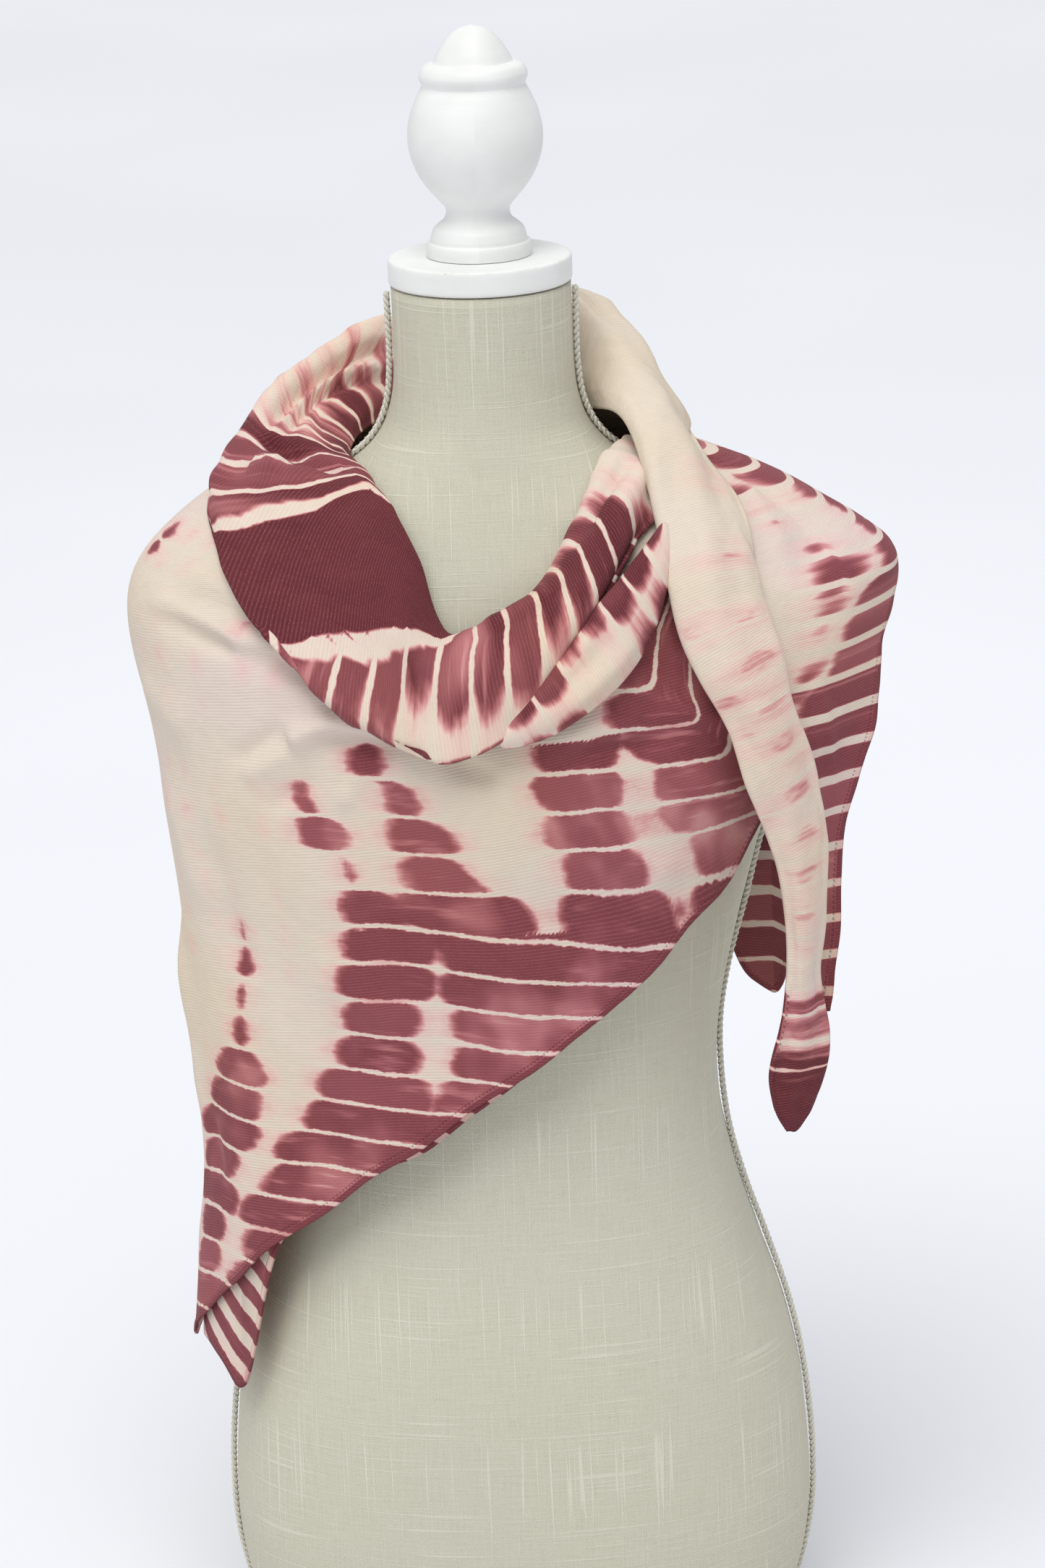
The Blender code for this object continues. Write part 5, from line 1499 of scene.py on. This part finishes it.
def under_piece():
    across, down = 240, 26
    grid = under_grid(across, down)
    grid = smooth(grid, 4, 0)
    x, y, z = grid[..., 0], grid[..., 1], grid[..., 2]
    a, r = np.arctan2(x, -y), np.hypot(x, y)
    low = z[:, :1]
    distance = z - low
    line = grid[:, 0] * np.array([1.0, 1.0, 0.0])
    run = np.concatenate([[0.0], np.cumsum(np.linalg.norm(np.diff(line, axis=0), axis=1))])[:, None] + 0 * z
    slope = np.abs(np.gradient(low[:, 0], run[:, 0]))[:, None]
    hem = distance / np.sqrt(1 + slope**2)
    detail = 0.35 * (1 - smoothstep(3.4, 5.0, hem)) + 0.8 * value_noise(run / 21.0, hem / 50.0, 71) * smoothstep(0.0, 6.0, hem)
    r = np.maximum(r + detail, torso_radius(a, z) + 2.3)
    grid = polar(a, r, z)
    p, q = fold_map(a, z)
    q = HALF - (z - 147.0) / 1000.0 - 0.55 * np.abs(p)
    dye = np.stack([p, q], -1)
    dyed = np.full_like(z, 0.010)
    return cloth(
        "shawl_under_layer", grid, dye, np.stack([run, hem], -1) / 1000.0, dyed, hem / 1000.0, TWILL,
        ["shawl_under"], None, -smoothstep(150.0, 205.0, z),
    )


def second_roll_piece():
    rows = [
        (2.0, -137.0, 600.0, 4.0, 3.4), (13.0, -137.0, 606.0, 9.0, 6.5), (27.0, -134.5, 614.5, 13.0, 8.6), (42.0, -130.5, 626.5, 16.0, 9.8),
        (58.0, -123.0, 641.5, 18.0, 10.4), (71.0, -113.5, 658.0, 17.5, 10.2), (82.0, -103.0, 674.0, 13.5, 8.6), (91.0, -91.0, 690.0, 8.5, 6.0),
        (96.0, -82.0, 702.0, 3.5, 3.0),
    ]
    grid = lying_on(roll_grid(rows, 130, 41), 2.6)
    grid = smooth(grid, 6, 0)
    run = lengths(grid, 0) / 1000.0
    down = lengths(grid, 1) / 1000.0
    mm, t = run * 1000.0, np.linspace(0, 1, 41)[None, :] + 0 * run
    normal = normals_of(grid)
    normal = normal if (normal * grid * np.array([1.0, 1.0, 0.6])).sum() > 0 else -normal
    folds = crease(
        mm, t * 60.0,
        [
            (18.0, 22.0, 90.0, 26.0, 5.0, -2.2), (30.0, 34.0, 104.0, 36.0, 4.5, 1.8), (10.0, 42.0, 70.0, 46.0, 4.0, -1.8),
            (56.0, 14.0, 118.0, 20.0, 4.0, 1.4),
        ],
    )
    folds += 0.4 * value_noise(mm / 13.0, t * 4.0, 81)
    ends = np.sin(np.pi * np.clip(mm / mm.max(), 0, 1)) ** 0.5
    grid = grid + normal * (folds * ends * smoothstep(0.0, 0.12, t) * smoothstep(1.0, 0.88, t))[..., None]
    dye = np.stack([0.16 + run, 0.4 * (down - 0.03)], -1)
    dyed = np.interp(t, [0.0, 0.3, 0.5, 0.7, 1.0], [0.012, 0.006, -0.007, -0.001, 0.008]) + 0 * run
    hem = 0.05 + 0 * run
    return cloth(
        "shawl_second_roll_fine", grid, dye, np.stack([down, run], -1), dyed, hem, TWILL_DOUBLED_AND_SHADED,
        ["shawl_second_roll"],
    )


# ---------------------------------------------------------------- the form


def ring_mesh(name, grid, u, v, material, values=None, caps=True, second=None):
    """A closed tube or turned body from rings in mm that run anticlockwise seen from above or ahead."""
    n, m = grid.shape[:2]
    verts = [tuple(point) for point in (grid / 1000.0).reshape(-1, 3)]
    faces, flat = [], []
    for i in range(n - 1):
        for j in range(m):
            k = (j + 1) % m
            faces.append((i * m + j, i * m + k, (i + 1) * m + k, (i + 1) * m + j))
            a, b = (u, u) if second is None or j < m // 2 else (second, second)
            flat += [(a[i, j], v[i, j]), (b[i, j + 1], v[i, j + 1]), (b[i + 1, j + 1], v[i + 1, j + 1]), (a[i + 1, j], v[i + 1, j])]
    if caps:
        low, high = len(verts), len(verts) + 1
        verts += [tuple(grid[0].mean(axis=0) / 1000.0), tuple(grid[-1].mean(axis=0) / 1000.0)]
        top = (n - 1) * m
        for j in range(m):
            k = (j + 1) % m
            faces += [(k, j, low), (top + j, top + k, high)]
            flat += [verts[k][:2], verts[j][:2], verts[low][:2], verts[top + j][:2], verts[top + k][:2], verts[high][:2]]
    mesh = bpy.data.meshes.new(name)
    mesh.from_pydata(verts, [], faces)
    mesh.polygons.foreach_set("use_smooth", np.ones(len(faces), bool))
    layer = mesh.uv_layers.new(name="weave")
    layer.uv.foreach_set("vector", np.array(flat, np.float32).ravel())
    for label, value in (values or {}).items():
        attribute = mesh.attributes.new(label, "FLOAT", "POINT")
        full = np.zeros(len(verts), np.float32)
        full[: n * m] = value.reshape(-1)
        attribute.data.foreach_set("value", full)
    mesh.materials.append(material)
    obj = bpy.data.objects.new(name, mesh)
    PART.objects.link(obj)
    return obj


def shown_for(obj, slot, *nodes):
    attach(obj, "root")
    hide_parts(*nodes)
    return obj


def linen_body():
    around, rings = 224, 200
    step = np.array([row[0] for row in TORSO][::-1], float)
    z = np.interp(np.linspace(0, len(step) - 1, rings), range(len(step)), step)
    az = np.linspace(0, 2 * math.pi, around, endpoint=False) + math.pi / 2
    r = torso_radius(az[None, :], z[:, None])
    r = smooth(r, 14, 0)
    a = az[None, :] + 0 * r
    # cloth over padding: barely uneven, with the weave broken at a seam under the cord at each side
    uneven = 0.30 * value_noise(np.degrees(a) / 22.5, z[:, None] / 60.0, 91) * smoothstep(0, 30, z)[:, None]
    grid = polar(a, r + uneven, z[:, None] + 0 * r)
    closed = np.concatenate([grid, grid[:, :1]], axis=1)
    u = lengths(closed, 1) / 1000.0
    v = (lengths(closed, 0) / 1000.0).mean(axis=1)[:, None] + 0 * u
    back_seam, front_seam = u[:, around // 4 : around // 4 + 1], u[:, 3 * around // 4 : 3 * around // 4 + 1]
    made = ring_mesh("linen_body", grid, u - back_seam, v, LINEN, second=u - front_seam + 1.7)
    return shown_for(made, "linen", "form_torso")


def turned_piece(name, profile, around, edge, node, grain):
    """profile: radius and z from the bottom up."""
    az = np.linspace(0, 2 * math.pi, around, endpoint=False)
    r, z = profile[:, 0][:, None], profile[:, 1][:, None]
    grid = polar(az[None, :] + 0 * r, r + 0 * az[None, :], z + 0 * az[None, :])
    run = np.concatenate([[0.0], np.cumsum(np.linalg.norm(np.diff(profile, axis=0), axis=1))]) / 1000.0
    u = np.linspace(0, 1, around + 1)[None, :] * grain + 0 * r
    v = run[:, None] + 0 * u
    value = edge(profile)[:, None] + 0 * az[None, :]
    return shown_for(ring_mesh(name, grid, u, v, PAINT, {"edge": value}), "paint", node)


def finial_edge(profile):
    z = profile[:, 1]
    rims = np.zeros_like(z)
    for place in (943.2, 937.0, 930.4, 845.0, 841.0, 857.0):
        rims += 0.45 * np.exp(-(((z - place) / 1.6) ** 2))
    return np.clip(rims, 0, 1)


def disc_edge(profile):
    near = np.exp(-(((profile[:, 1] - 836.4) / 0.9) ** 2)) + np.exp(-(((profile[:, 1] - 823.6) / 0.9) ** 2))
    return np.clip(near, 0, 1) * (profile[:, 0] > 48.0)


def braid_piece(name, side, node):
    """A plait of three cotton strands down the side seam, as in the frame's route."""
    heights = [818, 800, 782, 768, 757, 748, 741, 734, 728, 722.5, 717, 712, 707]
    heights += [701, 694, 686, 677, 667, 655, 640, 620, 595, 565, 530, 495, 460, 425]
    heights += [390, 355, 320, 285, 250, 216, 185, 150, 115, 80, 50, 30, 14, 5]
    rows = at(TORSO, heights)
    lean = np.gradient(rows[:, 0]) / np.gradient(np.array(heights, float))
    nx, nz = 1.0 / np.sqrt(1 + lean**2), -lean / np.sqrt(1 + lean**2)
    off = 2.3
    route = np.stack([rows[:, 0] + off * nx, 0 * nx, np.array(heights) + off * nz], -1)
    fine = along(route, np.linspace(0, 1, 1600))
    length = np.concatenate([[0.0], np.cumsum(np.linalg.norm(np.diff(fine, axis=0), axis=1))])
    s = np.arange(0.0, length[-1], 1.0)
    path = np.stack([np.interp(s, length, fine[:, k]) for k in range(3)], -1)
    path = smooth(path, 8, 0)
    ahead = np.gradient(path, axis=0)
    ahead /= np.linalg.norm(ahead, axis=1)[:, None]
    across = np.array([0.0, 1.0, 0.0]) + 0 * path
    out = np.cross(ahead, across)
    out *= np.sign(out[:, :1]) * 1.0
    around = 7
    grids = []
    for strand in range(3):
        phase = 2 * math.pi * (s / 11.5) + strand * 2 * math.pi / 3
        middle = path + across * (1.6 * np.sin(phase))[:, None] + out * (0.95 * np.sin(2 * phase) + 0.1)[:, None]
        t = np.gradient(middle, axis=0)
        t /= np.linalg.norm(t, axis=1)[:, None]
        n1 = np.cross(t, out)
        n1 /= np.linalg.norm(n1, axis=1)[:, None]
        n2 = np.cross(t, n1)
        turn = np.linspace(0, 2 * math.pi, around, endpoint=False)
        ring = (
            middle[:, None, :]
            + n1[:, None, :] * (1.15 * np.cos(turn))[None, :, None]
            + n2[:, None, :] * (1.0 * np.sin(turn))[None, :, None]
        )
        ring[..., 0] *= side
        grids.append(ring if side < 0 else ring[:, ::-1])
    parts = []
    for number, ring in enumerate(grids):
        u = np.linspace(0, 0.0055, around + 1)[None, :] + 0 * s[:, None]
        v = s[:, None] / 1000.0 + 0 * u
        ring_obj = ring_mesh(f"{name}_strand_{number}", ring, u, v, CORD)
        parts.append(ring_obj)
    data = parts[0]
    with bpy.context.temp_override(active_object=data, selected_editable_objects=parts):
        bpy.ops.object.join()
    data.name = name
    return shown_for(data, "cord", node)


LINEN, PAINT, CORD = linen_cloth(), white_paint(), cotton_cord()
# Two copies of one twill: the copy for the cowl, the hanging end and the second roll is darker, partly for the cloth
# lying doubled there and partly as painted shade.
TWILL = dyed_twill("twill_dyed", 1.0, (0.232, 0.056, 0.066), (0.17, 0.036, 0.046))
TWILL_DOUBLED_AND_SHADED = dyed_twill("twill_dyed_doubled_and_shaded", 2.0, (0.135, 0.025, 0.032), (0.095, 0.016, 0.022))

linen_body()
turned_profile = along(np.array(FINIAL[:-1][::-1], float), np.linspace(0, 1, 360))
turned_profile[:, 0] = np.maximum(turned_profile[:, 0], 0.4)
turned_piece("finial", turned_profile, 128, finial_edge, "form_finial", 0.22)
disc_profile = np.array(
    [
        (30.0, 822.9), (47.6, 822.9), (48.6, 822.95), (49.4, 823.05), (50.0, 823.4), (50.35, 823.9), (50.5, 824.7),
        (50.52, 826.5), (50.55, 830.0), (50.52, 833.5), (50.5, 835.3), (50.35, 836.1), (50.0, 836.6),
        (49.4, 836.98), (48.6, 837.1), (47.4, 837.2), (30.0, 837.2),
    ]
)
turned_piece("neck_disc", disc_profile, 160, disc_edge, "form_disc", 0.31)
braid_piece("braid_left", 1, "form_braid_left")
braid_piece("braid_right", -1, "form_braid_right")
body_piece()
strip_piece()
shoulder_piece()
corner_piece()
under_piece()
second_roll_piece()

# ---------------------------------------------------------------- floor, light and camera

floor_mesh = bpy.data.meshes.new("studio_floor")
floor_mesh.from_pydata([(-16, -16, -0.0006), (16, -16, -0.0006), (16, 16, -0.0006), (-16, 16, -0.0006)], [], [(0, 1, 2, 3)])
floor_mesh.materials.append(studio_floor())
floor = bpy.data.objects.new("studio_floor", floor_mesh)
bpy.context.scene.collection.objects.link(floor)


def soft_light(name, at_point, to_point, size, power, colour):
    data = bpy.data.lights.new(name, "AREA")
    data.shape = "DISK"
    data.size = size
    data.energy = power
    data.color = colour
    obj = bpy.data.objects.new(name, data)
    bpy.context.scene.collection.objects.link(obj)
    obj.location = at_point
    obj.rotation_euler = (Vector(to_point) - Vector(at_point)).to_track_quat("-Z", "Y").to_euler()
    return obj


soft_light("key_left", (-1.6, -2.0, 2.4), (0, 0, 0.55), 1.5, 8.0, (1.0, 0.985, 0.96))
soft_light("top_back", (0.3, 1.8, 2.8), (0, 0, 0.6), 2.2, 10.0, (0.97, 0.985, 1.0))
sky_data = bpy.data.lights.new("window", "SUN")
sky_data.energy = 1.8
sky_data.angle = math.radians(38.0)
sky_data.color = (1.0, 0.99, 0.975)
sky = bpy.data.objects.new("window", sky_data)
bpy.context.scene.collection.objects.link(sky)
sky.rotation_euler = Vector((0.10, 0.46, -1.0)).to_track_quat("-Z", "Y").to_euler()

world = bpy.data.worlds.new("studio")
world.use_nodes = True
world.node_tree.nodes["Background"].inputs["Color"].default_value = (0.93, 0.955, 1.0, 1.0)
world.node_tree.nodes["Background"].inputs["Strength"].default_value = 0.535
bpy.context.scene.world = world
bpy.context.scene.view_settings.view_transform = "Standard"

pitch, roll = math.radians(-17.94), math.radians(2.0)
ahead = Vector((0.0, math.cos(pitch), math.sin(pitch)))
level = Vector((1.0, 0.0, 0.0))
above = level.cross(ahead)
right = math.cos(roll) * level - math.sin(roll) * above
upward = math.sin(roll) * level + math.cos(roll) * above
camera_data = bpy.data.cameras.new("photo_camera")
camera_data.sensor_width = 36.0
camera_data.lens = 18.0 / math.tan(math.radians(10.0))
camera = bpy.data.objects.new("photo_camera", camera_data)
bpy.context.scene.collection.objects.link(camera)
turn = Matrix((right, upward, -ahead)).transposed().to_4x4()
camera.matrix_world = Matrix.Translation((0.0134, -2.403, 1.31)) @ turn
bpy.context.scene.camera = camera

bpy.context.view_layer.update()
